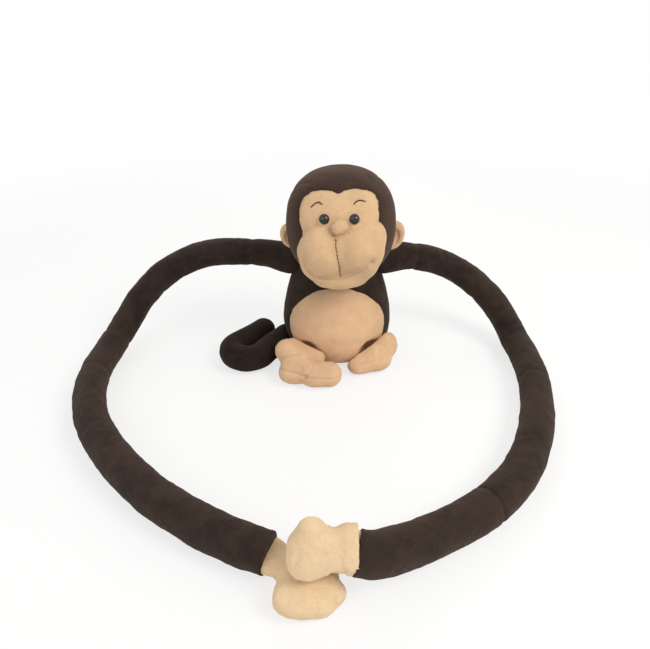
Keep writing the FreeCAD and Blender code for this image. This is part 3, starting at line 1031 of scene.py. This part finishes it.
def face_place(across, up):
    """The point of the head over a place on the face, given in millimetres, and the way out."""
    base = Vector((across + FACE_SHIFT, 0.0, 0.0)) + FACE_UP * up
    a = sum((FACE_OUT[i] / HEAD_HALF[i]) ** 2 for i in range(3))
    b = sum(2 * FACE_OUT[i] * base[i] / HEAD_HALF[i] ** 2 for i in range(3))
    c = sum((base[i] / HEAD_HALF[i]) ** 2 for i in range(3)) - 1.0
    reach = (-b + math.sqrt(b * b - 4 * a * c)) / (2 * a)
    offset = base + FACE_OUT * reach
    out = Vector([offset[i] / HEAD_HALF[i] ** 2 for i in range(3)]).normalized()
    return (HEAD + offset) * MM, out


def heart_value(place):
    """Above zero inside the seam of the heart shaped face, in metres from it."""
    offset = place / MM - HEAD
    if offset.dot(FACE_OUT) < FACE_FROM:
        return FAR_OUT
    across = offset.x - FACE_SHIFT
    up = offset.dot(FACE_UP)
    best = FAR_OUT / MM
    for middle, wide, high, power in HEART_LOBES:
        side = 0 if across < middle[0] else 1
        x = abs(across - middle[0]) / wide[side]
        z = abs(up - middle[1]) / high
        reach = (x ** power[side] + z ** power[side]) ** (1.0 / power[side])
        best = max(best, (1.0 - reach) * high)
    return best * MM + ragged(place, size=0.008, height=0.0006) + ragged(place, size=0.0020, height=0.0007)


class PLUSH_OT_head(Operator):
    """Sew the hood and the heart shaped face"""

    bl_idname = "plush.head"
    bl_label = "Head and Face"

    def execute(self, context):
        form = bmesh.new()
        bmesh.ops.create_icosphere(form, subdivisions=6, radius=1.0)
        for vert in form.verts:
            powers = [abs(vert.co[axis]) ** HEAD_POWER for axis in (0, 2, 1)]
            vert.co /= sum(powers) ** (1 / HEAD_POWER)
        bmesh.ops.scale(form, vec=HEAD_HALF * MM, verts=form.verts)
        bmesh.ops.translate(form, vec=HEAD * MM, verts=form.verts)
        head = make_piece("head_form", form, "hood_plush")
        push(head, -HEAD_INSET)
        inflate(head, pressure=context.scene.plush_cloth.pressure, reach=HEAD_SWELL)
        lumpy(head, height=0.0016, size=0.03)
        seams = (
            [(2, 8, 223), (3, 24, 206), (3, 29, 170), (2, 20, 130)],
            [(28, -47, 212), (31, -36, 216), (42, -12, 207), (52, 8, 178), (40, 23, 140)],
            [(-28, -45, 211), (-44, -20, 198), (-50, 5, 178), (-38, 22, 140)],
        )
        for seam in seams:
            groove(head, onto(head, smooth_line(seam)), *HOOD_SEAM)
        pulled = [at(4, -54.5, 215), at(12.5, -53.5, 215), at(30, -40, 215)]
        dent(head, pulled, depth=0.0014, width=0.0020)
        seat_eyes(head)
        names = ("hood_plush", "face_plush")
        hood, face = inlay(head, heart_value, names, "face_plush", depth=0.0016, width=0.0020)
        finish_piece(hood, "head", ["head_shell", "head_filling"])
        finish_piece(face, "head", ["face_panel"])
        return {"FINISHED"}


def seat_eyes(head):
    """Bring the cloth round each eye level with the eye's rim."""
    points = points_of(head)
    middle = np.array(HEAD * MM)
    half = np.array(HEAD_HALF * MM)
    offset = points - middle
    level = middle + offset / np.linalg.norm(offset / half, axis=1, keepdims=True)
    sockets = [face_place(*place)[0] for place in EYE_PLACES]
    share = np.exp(-((nearest_spot(points, sockets) / EYE_SEAT) ** 4)).reshape(-1, 1)
    place_points(head, points + (level - points) * share)
    dent(head, sockets, depth=-0.0004, width=0.0060)


MUZZLE_WADS = (
    ((-16, -66, 163), (-10, -67, 163), 19.5),
    ((29, -66, 166), (14, -66, 161), 18.5),
    ((-10, -67, 163), (14, -66, 161), 18.0),
    ((-18, -64, 139), (20, -64, 140), 22.5),
    ((-12, -60, 126), (15, -60, 127), 19.0),
)
MOUTH_STOPS = (
    (-35, -89, 150),
    (-33, -89, 143),
    (-25, -88, 134),
    (-14.5, -87, 130),
    (-5, -88, 130.5),
    (2, -90, 133),
    (11, -91, 136),
    (21.5, -94, 142),
    (31.5, -93, 149),
)
SPLIT_STOPS = (
    (-3.5, -80, 174),
    (-3.6, -88, 166),
    (-2.5, -92, 159),
    (-1, -93, 150),
    (0.3, -93, 143),
    (1.2, -91, 135),
)
NOSE_AT = (0.6, -4.2)  # place on the face
NOSE_OUT = 2.4  # how far its middle stands out of the face
NOSE_HALF = (8.2, 6.4, 7.2)
NOSE_HALF_DOWN = 6.6
NOSE_LEAN = 1.8  # how far its lower end is to the side


def sew_nose():
    """A soft round nose, narrower and further to the toy's right at its lower end."""
    spot, out = face_place(*NOSE_AT)
    form = bmesh.new()
    bmesh.ops.create_icosphere(form, subdivisions=5, radius=1.0)
    for vert in form.verts:
        low = max(0.0, -vert.co.z)
        vert.co.x = vert.co.x * NOSE_HALF[0] * (1.0 - 0.25 * low**1.3) - NOSE_LEAN * low
        vert.co.y *= NOSE_HALF[1] * (1.0 - 0.15 * low)
        vert.co.z *= NOSE_HALF[2] if vert.co.z > 0 else NOSE_HALF_DOWN
    bmesh.ops.scale(form, vec=(MM, MM, MM), verts=form.verts)
    tilt = Matrix.Rotation(-FACE_TILT, 3, "X")
    bmesh.ops.rotate(form, cent=(0, 0, 0), matrix=tilt, verts=form.verts)
    bmesh.ops.translate(form, vec=spot + out * NOSE_OUT * MM, verts=form.verts)
    nose = make_piece("nose_plush", form, "face_plush")
    lumpy(nose, height=0.0009, size=0.006)
    finish_piece(nose, "head", ["nose"])


class PLUSH_OT_muzzle(Operator):
    """Sew the muzzle with its mouth, the philtrum stitches and the nose"""

    bl_idname = "plush.muzzle"
    bl_label = "Muzzle and Nose"

    def execute(self, context):
        size = {"voxel": 0.003, "smooth": 14, "swell": 0.0012, "levels": 2, "grow": -0.0004}
        filling = ("muzzle_filling", "face_plush")
        muzzle = stuffed_cover("muzzle_plush", *filling, **size, wads=MUZZLE_WADS)
        mouth = places_on(muzzle, smooth_line(MOUTH_STOPS))
        split = places_on(muzzle, smooth_line(SPLIT_STOPS))
        # each line is a narrow crease in a wide soft valley
        groove(muzzle, mouth, depth=0.0020, width=0.0018)
        groove(muzzle, mouth, depth=0.0016, width=0.0060)
        groove(muzzle, split, depth=0.0017, width=0.0016)
        groove(muzzle, split, depth=0.0022, width=0.0085)
        dent(muzzle, [mouth[0], mouth[-1]], depth=0.0030, width=0.0032)
        stitch = {"pitch": 0.0034, "length": 0.0030, "radius": 0.00042, "slant": 0.10}
        sewn = seen_on(muzzle, split[3:])
        philtrum = stitch_row("philtrum_stitches", sewn, "dark_thread", **stitch)
        stitch = {"pitch": 0.0034, "length": 0.0028, "radius": 0.00030, "rise": 0.0001}
        lips = stitch_row("mouth_stitches", seen_on(muzzle, mouth[3:-3]), "tan_thread", **stitch)
        finish_piece(muzzle, "head", ["muzzle_cover", "muzzle_filling"])
        finish_piece(philtrum, "head", ["philtrum_stitching"])
        finish_piece(lips, "head", ["mouth_stitching"])
        sew_nose()
        return {"FINISHED"}


BROWS = {
    "right": ((-26.7, 14.1), (-23.5, 16.9), (-19.8, 18.6), (-17.7, 17.7), (-16.1, 16.2)),
    "left": ((13.4, 16.7), (15.7, 19.0), (18.4, 20.2), (21.6, 20.1), (24.6, 19.1)),
}


def dress_node(node, material):
    """Give a node of the solids its finish."""
    for slot in NODES[node].material_slots:
        slot.material = bpy.data.materials[material]


class PLUSH_OT_eyes(Operator):
    """Finish the moulded eyes and their washers, and embroider the brows"""

    bl_idname = "plush.eyes"
    bl_label = "Eyes and Brows"

    def execute(self, context):
        stitch = {"pitch": 0.0005, "length": 0.0016, "radius": 0.00028, "slant": math.radians(50)}
        face = bpy.data.objects["face_plush"]
        for side, stops in BROWS.items():
            dress_node(side + "_eye", "eye_plastic")
            dress_node(side + "_eye_washer", "washer_plastic")
            arc = smooth_line([face_place(across, up)[0] / MM for across, up in stops], 6)
            name = side + "_brow_stitches"
            brow = stitch_row(name, seen_on(face, arc), "dark_thread", **stitch)
            finish_piece(brow, "head", [side + "_brow"])
        return {"FINISHED"}


EAR_HALF = (12.6, 5.4)  # half width and half thickness
EARS = (
    # side, which way is out, middle from side to side, half height
    ("right", -1.0, -50.5, 14.8),
    ("left", 1.0, 60.0, 16.6),
)
EAR_Y = -15.0
EAR_Z = 147.0
EAR_LEAN = 0.20  # radians
EAR_TURN = 0.25  # radians


class PLUSH_OT_ears(Operator):
    """Sew the two ears with their rolled rims"""

    bl_idname = "plush.ears"
    bl_label = "Ears"

    def execute(self, context):
        for side, sign, middle_x, high in EARS:
            form = bmesh.new()
            bmesh.ops.create_icosphere(form, subdivisions=5, radius=1.0)
            # the front is hollow inside a thick rim, and the back is round
            for vert in form.verts:
                rim = math.hypot(vert.co.x, vert.co.z)
                if vert.co.y < 0.0:
                    vert.co.y *= 0.62 + 0.55 * rim - 0.95 * math.exp(-((rim / 0.55) ** 2))
            bmesh.ops.scale(form, vec=Vector((*EAR_HALF, high)) * MM, verts=form.verts)
            lean = Matrix.Rotation(sign * EAR_LEAN, 3, "Y") @ Matrix.Rotation(sign * EAR_TURN, 3, "Z")
            bmesh.ops.rotate(form, cent=(0, 0, 0), matrix=lean, verts=form.verts)
            bmesh.ops.translate(form, vec=at(middle_x, EAR_Y, EAR_Z), verts=form.verts)
            ear = make_piece(side + "_ear_plush", form, "face_plush")
            lumpy(ear, height=0.0012, size=0.010)
            fold = ((-4, -19, 158), (2, -19.5, 151), (3, -19, 142), (-2, -18, 136))
            fold = smooth_line([(middle_x + x * sign, y, z) for x, y, z in fold])
            groove(ear, onto(ear, fold), *FOLD)
            finish_piece(ear, "ear_" + side, [side + "_ear"])
        return {"FINISHED"}


ARMS = {
    # creases: share of the arm's length, depth and width in metres
    # short: how much earlier than its line the sleeve ends
    "right": {
        "start": (-52.0, 18.0, 108.5),
        "along": (-1.0, 0.08, 0.14),
        "lands": (-0.02, -1.0, 0.0),
        "stops": [(-128, 28, 111), (-244, 5, 48), FLOOR_ARC, (-229, -177, ARM_REST), (-53, -306, ARM_REST)],
        "creases": [(0.10, 0.0009, 0.0040), (0.30, 0.0006, 0.0030)]
        + [(0.42, 0.0009, 0.0024), (0.52, 0.0008, 0.0030)],
        "short": 0.0,
        "wrist": "wrist_right",
    },
    "left": {
        "start": (52.0, 18.0, 108.5),
        "along": (1.0, 0.12, 0.06),
        "lands": (0.02, -1.0, 0.0),
        "stops": [(119, 30, 98), (211, -10, 24), FLOOR_ARC, (171, -202, ARM_REST)]
        + [(98, -275, ARM_REST), (27, -314, 29), (2, -315, 35)],
        "creases": [(0.09, 0.0008, 0.0035), (0.25, 0.0006, 0.0030)]
        + [(0.50, 0.0008, 0.0030), (0.80, 0.0015, 0.0016)],
        "short": 4.0,
        "wrist": "wrist_left_peel",
    },
}
ROOT_FLARE = 3.0  # how much wider a sleeve is where it leaves the body
FLARE_REACH = 20.0  # how far along the sleeve that goes
FLARE_DROP = 0.8  # share of the flare that is on the underside
PILE = 0.7  # how far a sleeve's surface stands out of the solid's, before its lumps
DOME = [math.radians(angle) for angle in (84, 63, 42, 21)]  # rings of the rounded root
SLEEVE_SWELL = 0.0010  # how far the filling blows a sleeve up
ROOT_HELD = 0.010  # the stretch of a sleeve's root that the filling doesn't move
END_HELD = 0.006  # the same at its wrist
BEND_REACH = 0.022  # how far on each side of a joint a sleeve bends
WRIST_REACH = 0.004  # how far past a wrist it does


def sleeve(side, facts):
    """A whole sleeve in one piece, the distance run at every point, and its line in millimetres."""
    line = sleeve_line(facts["start"], facts["along"], facts["lands"], facts["stops"])
    last = line[-1]
    while (line[-1] - last).length < facts["short"]:
        line.pop()
    body = ARM_RADIUS + PILE
    along = Vector(facts["along"]).normalized()
    line = [line[0] - along * body * math.sin(angle) for angle in DOME] + line
    radius = []
    for step in range(len(line)):
        past = max(0, step - len(DOME)) * PITCH
        flare = ROOT_FLARE * math.exp(-((past / FLARE_REACH) ** 2))
        round_off = math.cos(DOME[step]) if step < len(DOME) else 1.0
        radius.append((body + flare) * round_off)
        line[step] = line[step] - Vector((0.0, 0.0, FLARE_DROP * flare))
    whole = tube_along(side + "_sleeve", line, radius, "sleeve_plush")
    keep_above_floor(whole)
    run, total = along_tube(points_of(whole), line)
    push(whole, -SLEEVE_SWELL)
    held = [i for i, r in enumerate(run) if r < ROOT_HELD or r > total - END_HELD]
    inflate(whole, pressure=bpy.context.scene.plush_cloth.pressure, reach=SLEEVE_SWELL, pinned=held)
    refine(whole, 1)
    run, total = along_tube(points_of(whole), line)
    amount = np.zeros(len(run))
    for share, depth, width in facts["creases"]:
        amount -= depth * np.exp(-(((run - share * total) / width) ** 2))
    push(whole, amount)
    lumpy(whole, height=0.0018, size=0.026)
    lumpy(whole, height=0.0008, size=0.008)
    return whole, run, line


class PLUSH_OT_arms(Operator):
    """Sew the two long sleeves, which bend at the elbow, the forearm and the wrist"""

    bl_idname = "plush.arms"
    bl_label = "Arms"

    def execute(self, context):
        for side, facts in ARMS.items():
            whole, run, line = sleeve(side, facts)
            stops, runs = runs_of(line)
            names = ("elbow_" + side, f"forearm_{side}_bend", facts["wrist"])
            joints = [JOINTS[name] for name in names]
            places = [int(((stops - np.array(joint)) ** 2).sum(1).argmin()) for joint in joints]
            where = [runs[place] for place in places]
            cuts = [-1.0, (where[0] + where[1]) / 2.0, (where[1] + where[2]) / 2.0, 1.0]
            bodies = [f"{label}_{side}" for label in ("upper_arm", "forearm", "lower_arm", "hand")]
            for number, label in enumerate(("upper_arm", "forearm", "lower_arm")):
                piece = part_of_tube(f"{side}_{label}_plush", whole, run, cuts[number], cuts[number + 1])
                nodes = [f"{side}_{label}_sleeve", f"{side}_{label}_filling"]
                finish_piece(piece, None, nodes)
                ahead = stops[min(places[number] + 1, len(stops) - 1)]
                way = Vector(ahead - stops[places[number] - 1]).normalized()
                first = joints[number] - way * BEND_REACH
                last = joints[number] + way * (BEND_REACH if number < 2 else WRIST_REACH)
                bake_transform(piece, bodies[number], bodies[number + 1], first, last)
            remove_piece(whole)
        return {"FINISHED"}


CUFF_STAND = 0.7  # how far a cuff stands out of the sleeve
CUFF_INSIDE = 3.0  # how far inside the sleeve's surface the hand goes on past the cuff
CUFF_FROM = -10.0  # where a hand begins to widen, measured from the wrist up the arm
CUFF_SLOPE = 8.0  # the length over which it does
PALM_SLOPE = 3.0  # the height over which it does, above the palm
CUFF_CORE = 0.004  # places nearer to the arm's middle line stay, in metres


def cuff(piece, middle, up_arm, edge, floor):
    """Roll the end of a hand over its sleeve: full up to the cuff's edge, narrow past it.

    middle is the wrist, edge the cuff's distance from it and floor the height of the palm,
    all in millimetres.
    """
    points = points_of(piece)
    up_arm = np.array(up_arm)
    offset = points - np.array(middle) * MM
    along = offset @ up_arm
    across = offset - along[:, None] * up_arm
    reach = np.linalg.norm(across, axis=1)
    full = np.maximum(reach, (ARM_RADIUS + CUFF_STAND) * MM)
    near_cuff = np.clip((along / MM - CUFF_FROM) / CUFF_SLOPE, 0.0, 1.0)
    above_palm = np.clip((points[:, 2] / MM - floor) / PALM_SLOPE, 0.0, 1.0)
    wanted = reach + (full - reach) * (near_cuff * above_palm)
    inside = np.minimum(reach, (ARM_RADIUS - CUFF_INSIDE) * MM)
    wanted = np.where(along > edge * MM, inside, wanted)
    scale = np.where(reach > CUFF_CORE, wanted / np.maximum(reach, 1e-6), 1.0)
    place_points(piece, np.array(middle) * MM + along[:, None] * up_arm + across * scale[:, None])


class PLUSH_OT_hands(Operator):
    """Sew the two hands and lay the hook tape and the loop tape on their palms"""

    bl_idname = "plush.hands"
    bl_label = "Hands"

    def execute(self, context):
        size = {"voxel": 0.003, "smooth": 8, "swell": 0.0012, "levels": 2}
        lower = stuffed_cover("right_hand_plush", "right_hand_filling", "hand_plush", **size)
        upper = stuffed_cover("left_hand_plush", "left_hand_filling", "hand_plush", **size)
        cuff(upper, middle=(2, -315, 35), up_arm=(1.0, 0.0, 0.0), edge=6.6, floor=26.0)
        lower_seams = (
            [(-19.4, -333, 12), (-18.8, -338, 12), (-20, -343, 12), (-20.5, -349, 12)],
            [(-5.8, -331.6, 12), (-6, -336, 12), (-6, -341, 12)],
        )
        upper_seams = (
            [(-34, -330, 42.5), (-30, -330, 47.7), (-21, -330, 48.4), (-13.4, -330, 48.7)],
            [(-9.3, -330, 31), (-9.5, -330, 26), (-9.3, -330, 21)],
            [(-0.8, -330, 35), (-1.0, -330, 30), (-1.2, -330, 26)],
        )
        for piece, seams in ((lower, lower_seams), (upper, upper_seams)):
            sew_seams(piece, seams, FOLD)
            lumpy(piece, height=0.0007, size=0.0032)
        rim = smooth_line([(-55, -322, 8), (-45, -341, 8), (-30, -349, 8), (-12, -350, 8), (2, -342, 8)])
        groove(lower, onto(lower, rim), *RIM_SEAM)
        finish_piece(lower, "hand_right", ["right_hand_cover", "right_hand_filling"])
        finish_piece(upper, "hand_left", ["left_hand_cover", "left_hand_filling"])
        dress_node("hook_pad", "hook_tape")
        dress_node("loop_pad", "loop_tape")
        return {"FINISHED"}


# the feet press against this round form
HUG_MIDDLE = Vector((0.0, -2.0, 42.0))
HUG_HALF = Vector((67.4, 65.4, 66.4))


def hug(piece):
    """Keep a foot out of the belly and off the floor."""
    middle = np.array(HUG_MIDDLE * MM)
    offset = points_of(piece) - middle
    reach = np.linalg.norm(offset / np.array(HUG_HALF * MM), axis=1, keepdims=True)
    points = middle + offset / np.minimum(reach, 1.0)
    place_points(piece, points)
    keep_above_floor(piece)


FOOT_WADS = {
    "right": [((-52, -63, 27), (-33, -69, 21), 11.5), ((-50, -48, 27), (-22, -64, 21), 9.0)],
    "left": [((52, -52, 25), (38, -60, 17), 9.5), ((51, -46, 27), (28, -60, 15), 8.5)],
}
FOOT_SEAMS = {
    "right": (
        [(-63, -71, 25), (-52.6, -62.3, 25), (-41.6, -56.6, 25)],
        [(-68, -69, 15), (-60, -78.6, 15), (-47, -84, 15), (-34, -92, 15)],
        [(-34, -92, 15), (-25, -95, 15), (-5, -97, 15), (5, -88, 15)],
        [(-34, -89, 15), (-36, -97, 15), (-38, -105, 15)],
        [(-30, -71, 25), (-28, -86, 25), (-33.6, -103, 25)],
    ),
    "left": (
        [(47.8, -55, 25), (47.7, -65, 25), (47.6, -75, 25)],
        [(24.4, -71.8, 15), (32, -67, 15), (39.7, -61, 15)],
        [(20, -80, 8), (34, -80, 8), (50, -76, 8), (64, -66, 10)],
    ),
}


class PLUSH_OT_feet(Operator):
    """Sew the two padded feet with their toes"""

    bl_idname = "plush.feet"
    bl_label = "Feet"

    def execute(self, context):
        size = {"voxel": 0.003, "smooth": 6, "swell": 0.0012, "levels": 2}
        for side in ("right", "left"):
            nodes = [side + "_foot_filling", side + "_foot_cover"]
            wads = FOOT_WADS[side]
            foot = stuffed_cover(side + "_foot_plush", nodes[0], "belly_plush", **size, wads=wads)
            hug(foot)
            sew_seams(foot, FOOT_SEAMS[side], FOOT_SEAM)
            lumpy(foot, height=0.0005, size=0.0032)
            finish_piece(foot, "foot_" + side, nodes)
        return {"FINISHED"}


TAIL_RADIUS = 15.8
TAIL_REST = FLOOR_GAP + TAIL_RADIUS
TAIL_PILE = -0.4  # how far the tail's surface stands out of the solid's, before its lumps
TAIL_START = (-61.5, -10.0, TAIL_REST)
TAIL_ALONG = (-0.588, -0.809, 0.0)  # the way it leaves the body
TAIL_ACROSS = (-0.94, 0.34, 0.0)  # the way it runs at its joint
TAIL_STOPS = (
    (-86, -49, TAIL_REST),
    (-108, -59, TAIL_REST),
    (-117, -28, TAIL_REST),
    (-91, 3, TAIL_REST),
)
TAIL_ROOT = ((12.0, 12.0), (6.0, 14.6))  # distance before the start, and radius there
TIP_STEPS = 6  # rings of the rounded tip
TIP_ANGLE = math.radians(86.0)
TAIL_SWELL = 0.0006  # how far the filling blows it up
TAIL_BEND_REACH = 0.012  # how far on each side of its joint it bends


class PLUSH_OT_tail(Operator):
    """Sew the curled tail, which bends at its middle"""

    bl_idname = "plush.tail"
    bl_label = "Tail"

    def execute(self, context):
        along = Vector(TAIL_ALONG).normalized()
        here = Vector(TAIL_START)
        line = [here - along * distance for distance, size in TAIL_ROOT] + [here.copy()]
        for stop in TAIL_STOPS:
            points, along = arc_points(here, along, Vector(stop))
            line += points[1:]
            here = Vector(stop)
        body = TAIL_RADIUS + TAIL_PILE
        radius = [size for distance, size in TAIL_ROOT] + [body] * (len(line) - len(TAIL_ROOT))
        for step in range(1, TIP_STEPS + 1):
            angle = step / TIP_STEPS * TIP_ANGLE
            line.append(here + along * TAIL_RADIUS * math.sin(angle))
            radius.append(body * math.cos(angle))
        tail = tube_along("tail_plush", line, radius, "tail_plush")
        push(tail, -TAIL_SWELL)
        inflate(tail, pressure=context.scene.plush_cloth.pressure, reach=TAIL_SWELL)
        refine(tail, 1)
        lumpy(tail, height=0.0016, size=0.02)
        nodes = [f"tail_{part}_{layer}" for part in ("base", "tip") for layer in ("cover", "filling")]
        finish_piece(tail, None, nodes)
        middle = JOINTS["tail_uncurl"]
        reach = Vector(TAIL_ACROSS).normalized() * TAIL_BEND_REACH
        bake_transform(tail, "tail_base", "tail_tip", middle - reach, middle + reach)
        return {"FINISHED"}


# the stage, in metres
FLOOR_HALF = 60.0
NEAR_WHITE = 0.72  # share of pure white that the camera sees in the floor near the toy
WHITE_FROM = 0.35  # distance at which that share begins to rise
WHITE_TO = 1.3  # distance from which the floor is pure white
LAMP_AIM = Vector((0.0, -0.12, 0.06))
CAMERA_PLACE = (-0.014, -0.533, 0.346)


class PLUSH_OT_stage(Operator):
    """Set up the floor, the lamps and the camera"""

    bl_idname = "plush.stage"
    bl_label = "Stage"

    def execute(self, context):
        stage = context.scene.plush_stage
        form = bmesh.new()
        bmesh.ops.create_grid(form, x_segments=4, y_segments=4, size=FLOOR_HALF)
        tree, shader = new_material("floor_paper", tuple(stage.floor))
        shader.inputs["Base Color"].default_value = (*stage.floor, 1.0)
        shader.inputs["Roughness"].default_value = 0.9
        shader.inputs["Specular IOR Level"].default_value = 0.1
        white = tree.nodes.new("ShaderNodeEmission")
        white.inputs["Strength"].default_value = 1.0
        seen = tree.nodes.new("ShaderNodeLightPath").outputs["Is Camera Ray"]
        mixed = tree.nodes.new("ShaderNodeMixShader")
        away = tree.nodes.new("ShaderNodeVectorMath")
        away.operation = "LENGTH"
        tree.links.new(tree.nodes.new("ShaderNodeTexCoord").outputs["Object"], away.inputs[0])
        far = ramp_node(tree, away.outputs["Value"], WHITE_FROM, WHITE_TO)
        far = math_node(tree, "ADD", math_node(tree, "MULTIPLY", far, 1.0 - NEAR_WHITE), NEAR_WHITE)
        share = math_node(tree, "MULTIPLY", seen, far)
        tree.links.new(share, mixed.inputs[0])
        tree.links.new(shader.outputs[0], mixed.inputs[1])
        tree.links.new(white.outputs[0], mixed.inputs[2])
        tree.links.new(mixed.outputs[0], tree.nodes["Material Output"].inputs["Surface"])
        make_piece("floor_sheet", form, "floor_paper")
        world = bpy.data.worlds.new("studio")
        world.use_nodes = True
        context.scene.world = world
        nodes = world.node_tree.nodes
        soft = nodes["Background"]
        soft.inputs["Color"].default_value = (1.0, 0.985, 0.96, 1.0)
        soft.inputs["Strength"].default_value = 0.55
        clear = nodes.new("ShaderNodeBackground")
        clear.inputs["Color"].default_value = (1.0, 1.0, 1.0, 1.0)
        clear.inputs["Strength"].default_value = 1.0
        path = nodes.new("ShaderNodeLightPath")
        pick = nodes.new("ShaderNodeMixShader")
        rays = (path.outputs["Is Camera Ray"], path.outputs["Is Glossy Ray"])
        shown = math_node(world.node_tree, "MAXIMUM", *rays)
        world.node_tree.links.new(shown, pick.inputs[0])
        world.node_tree.links.new(soft.outputs[0], pick.inputs[1])
        world.node_tree.links.new(clear.outputs[0], pick.inputs[2])
        world.node_tree.links.new(pick.outputs[0], nodes["World Output"].inputs["Surface"])
        lamps = (
            # name, place in metres, power, size in metres and colour
            ("key_lamp", (0.75, -0.55, 0.95), stage.key, 0.55, (1.0, 0.97, 0.92)),
            ("fill_lamp", (-0.9, -0.8, 0.7), stage.fill, 0.8, (0.93, 0.96, 1.0)),
            ("back_lamp", (0.1, 0.9, 0.9), stage.fill, 0.7, (1.0, 0.98, 0.95)),
        )
        for name, place, power, size, colour in lamps:
            lamp = bpy.data.lights.new(name, "AREA")
            lamp.energy = power
            lamp.size = size
            lamp.color = colour
            holder = bpy.data.objects.new(name, lamp)
            holder.location = place
            aim = LAMP_AIM - holder.location
            holder.rotation_euler = aim.to_track_quat("-Z", "Y").to_euler()
            context.scene.collection.objects.link(holder)
        view = bpy.data.cameras.new("camera")
        view.lens = stage.lens
        view.sensor_width = 36.0
        view.clip_start = 0.01
        camera = bpy.data.objects.new("camera", view)
        camera.location = CAMERA_PLACE
        camera.rotation_euler = (math.pi / 2.0 - stage.tilt, 0.0, 0.0)
        context.scene.collection.objects.link(camera)
        context.scene.camera = camera
        context.scene.view_settings.view_transform = "Standard"
        return {"FINISHED"}


STEPS = (
    PLUSH_OT_materials,
    PLUSH_OT_stage,
    PLUSH_OT_body,
    PLUSH_OT_head,
    PLUSH_OT_muzzle,
    PLUSH_OT_eyes,
    PLUSH_OT_ears,
    PLUSH_OT_arms,
    PLUSH_OT_hands,
    PLUSH_OT_feet,
    PLUSH_OT_tail,
)


class PLUSH_PT_panel(Panel):
    """Lists the steps that make the plush monkey"""

    bl_label = "Plush Monkey"
    bl_idname = "PLUSH_PT_panel"
    bl_space_type = "VIEW_3D"
    bl_region_type = "UI"
    bl_category = "Plush"

    def draw(self, context):
        for step in STEPS:
            self.layout.operator(step.bl_idname)


CLASSES = (PlushCloth, PlushColours, PlushStage, *STEPS, PLUSH_PT_panel)


def register():
    for item in CLASSES:
        bpy.utils.register_class(item)
    bpy.types.Scene.plush_cloth = PointerProperty(type=PlushCloth)
    bpy.types.Scene.plush_colours = PointerProperty(type=PlushColours)
    bpy.types.Scene.plush_stage = PointerProperty(type=PlushStage)


def unregister():
    del bpy.types.Scene.plush_stage
    del bpy.types.Scene.plush_colours
    del bpy.types.Scene.plush_cloth
    for item in reversed(CLASSES):
        bpy.utils.unregister_class(item)


def main():
    register()
    for step in STEPS:
        group, name = step.bl_idname.split(".")
        getattr(getattr(bpy.ops, group), name)()


if __name__ == "__main__":
    main()
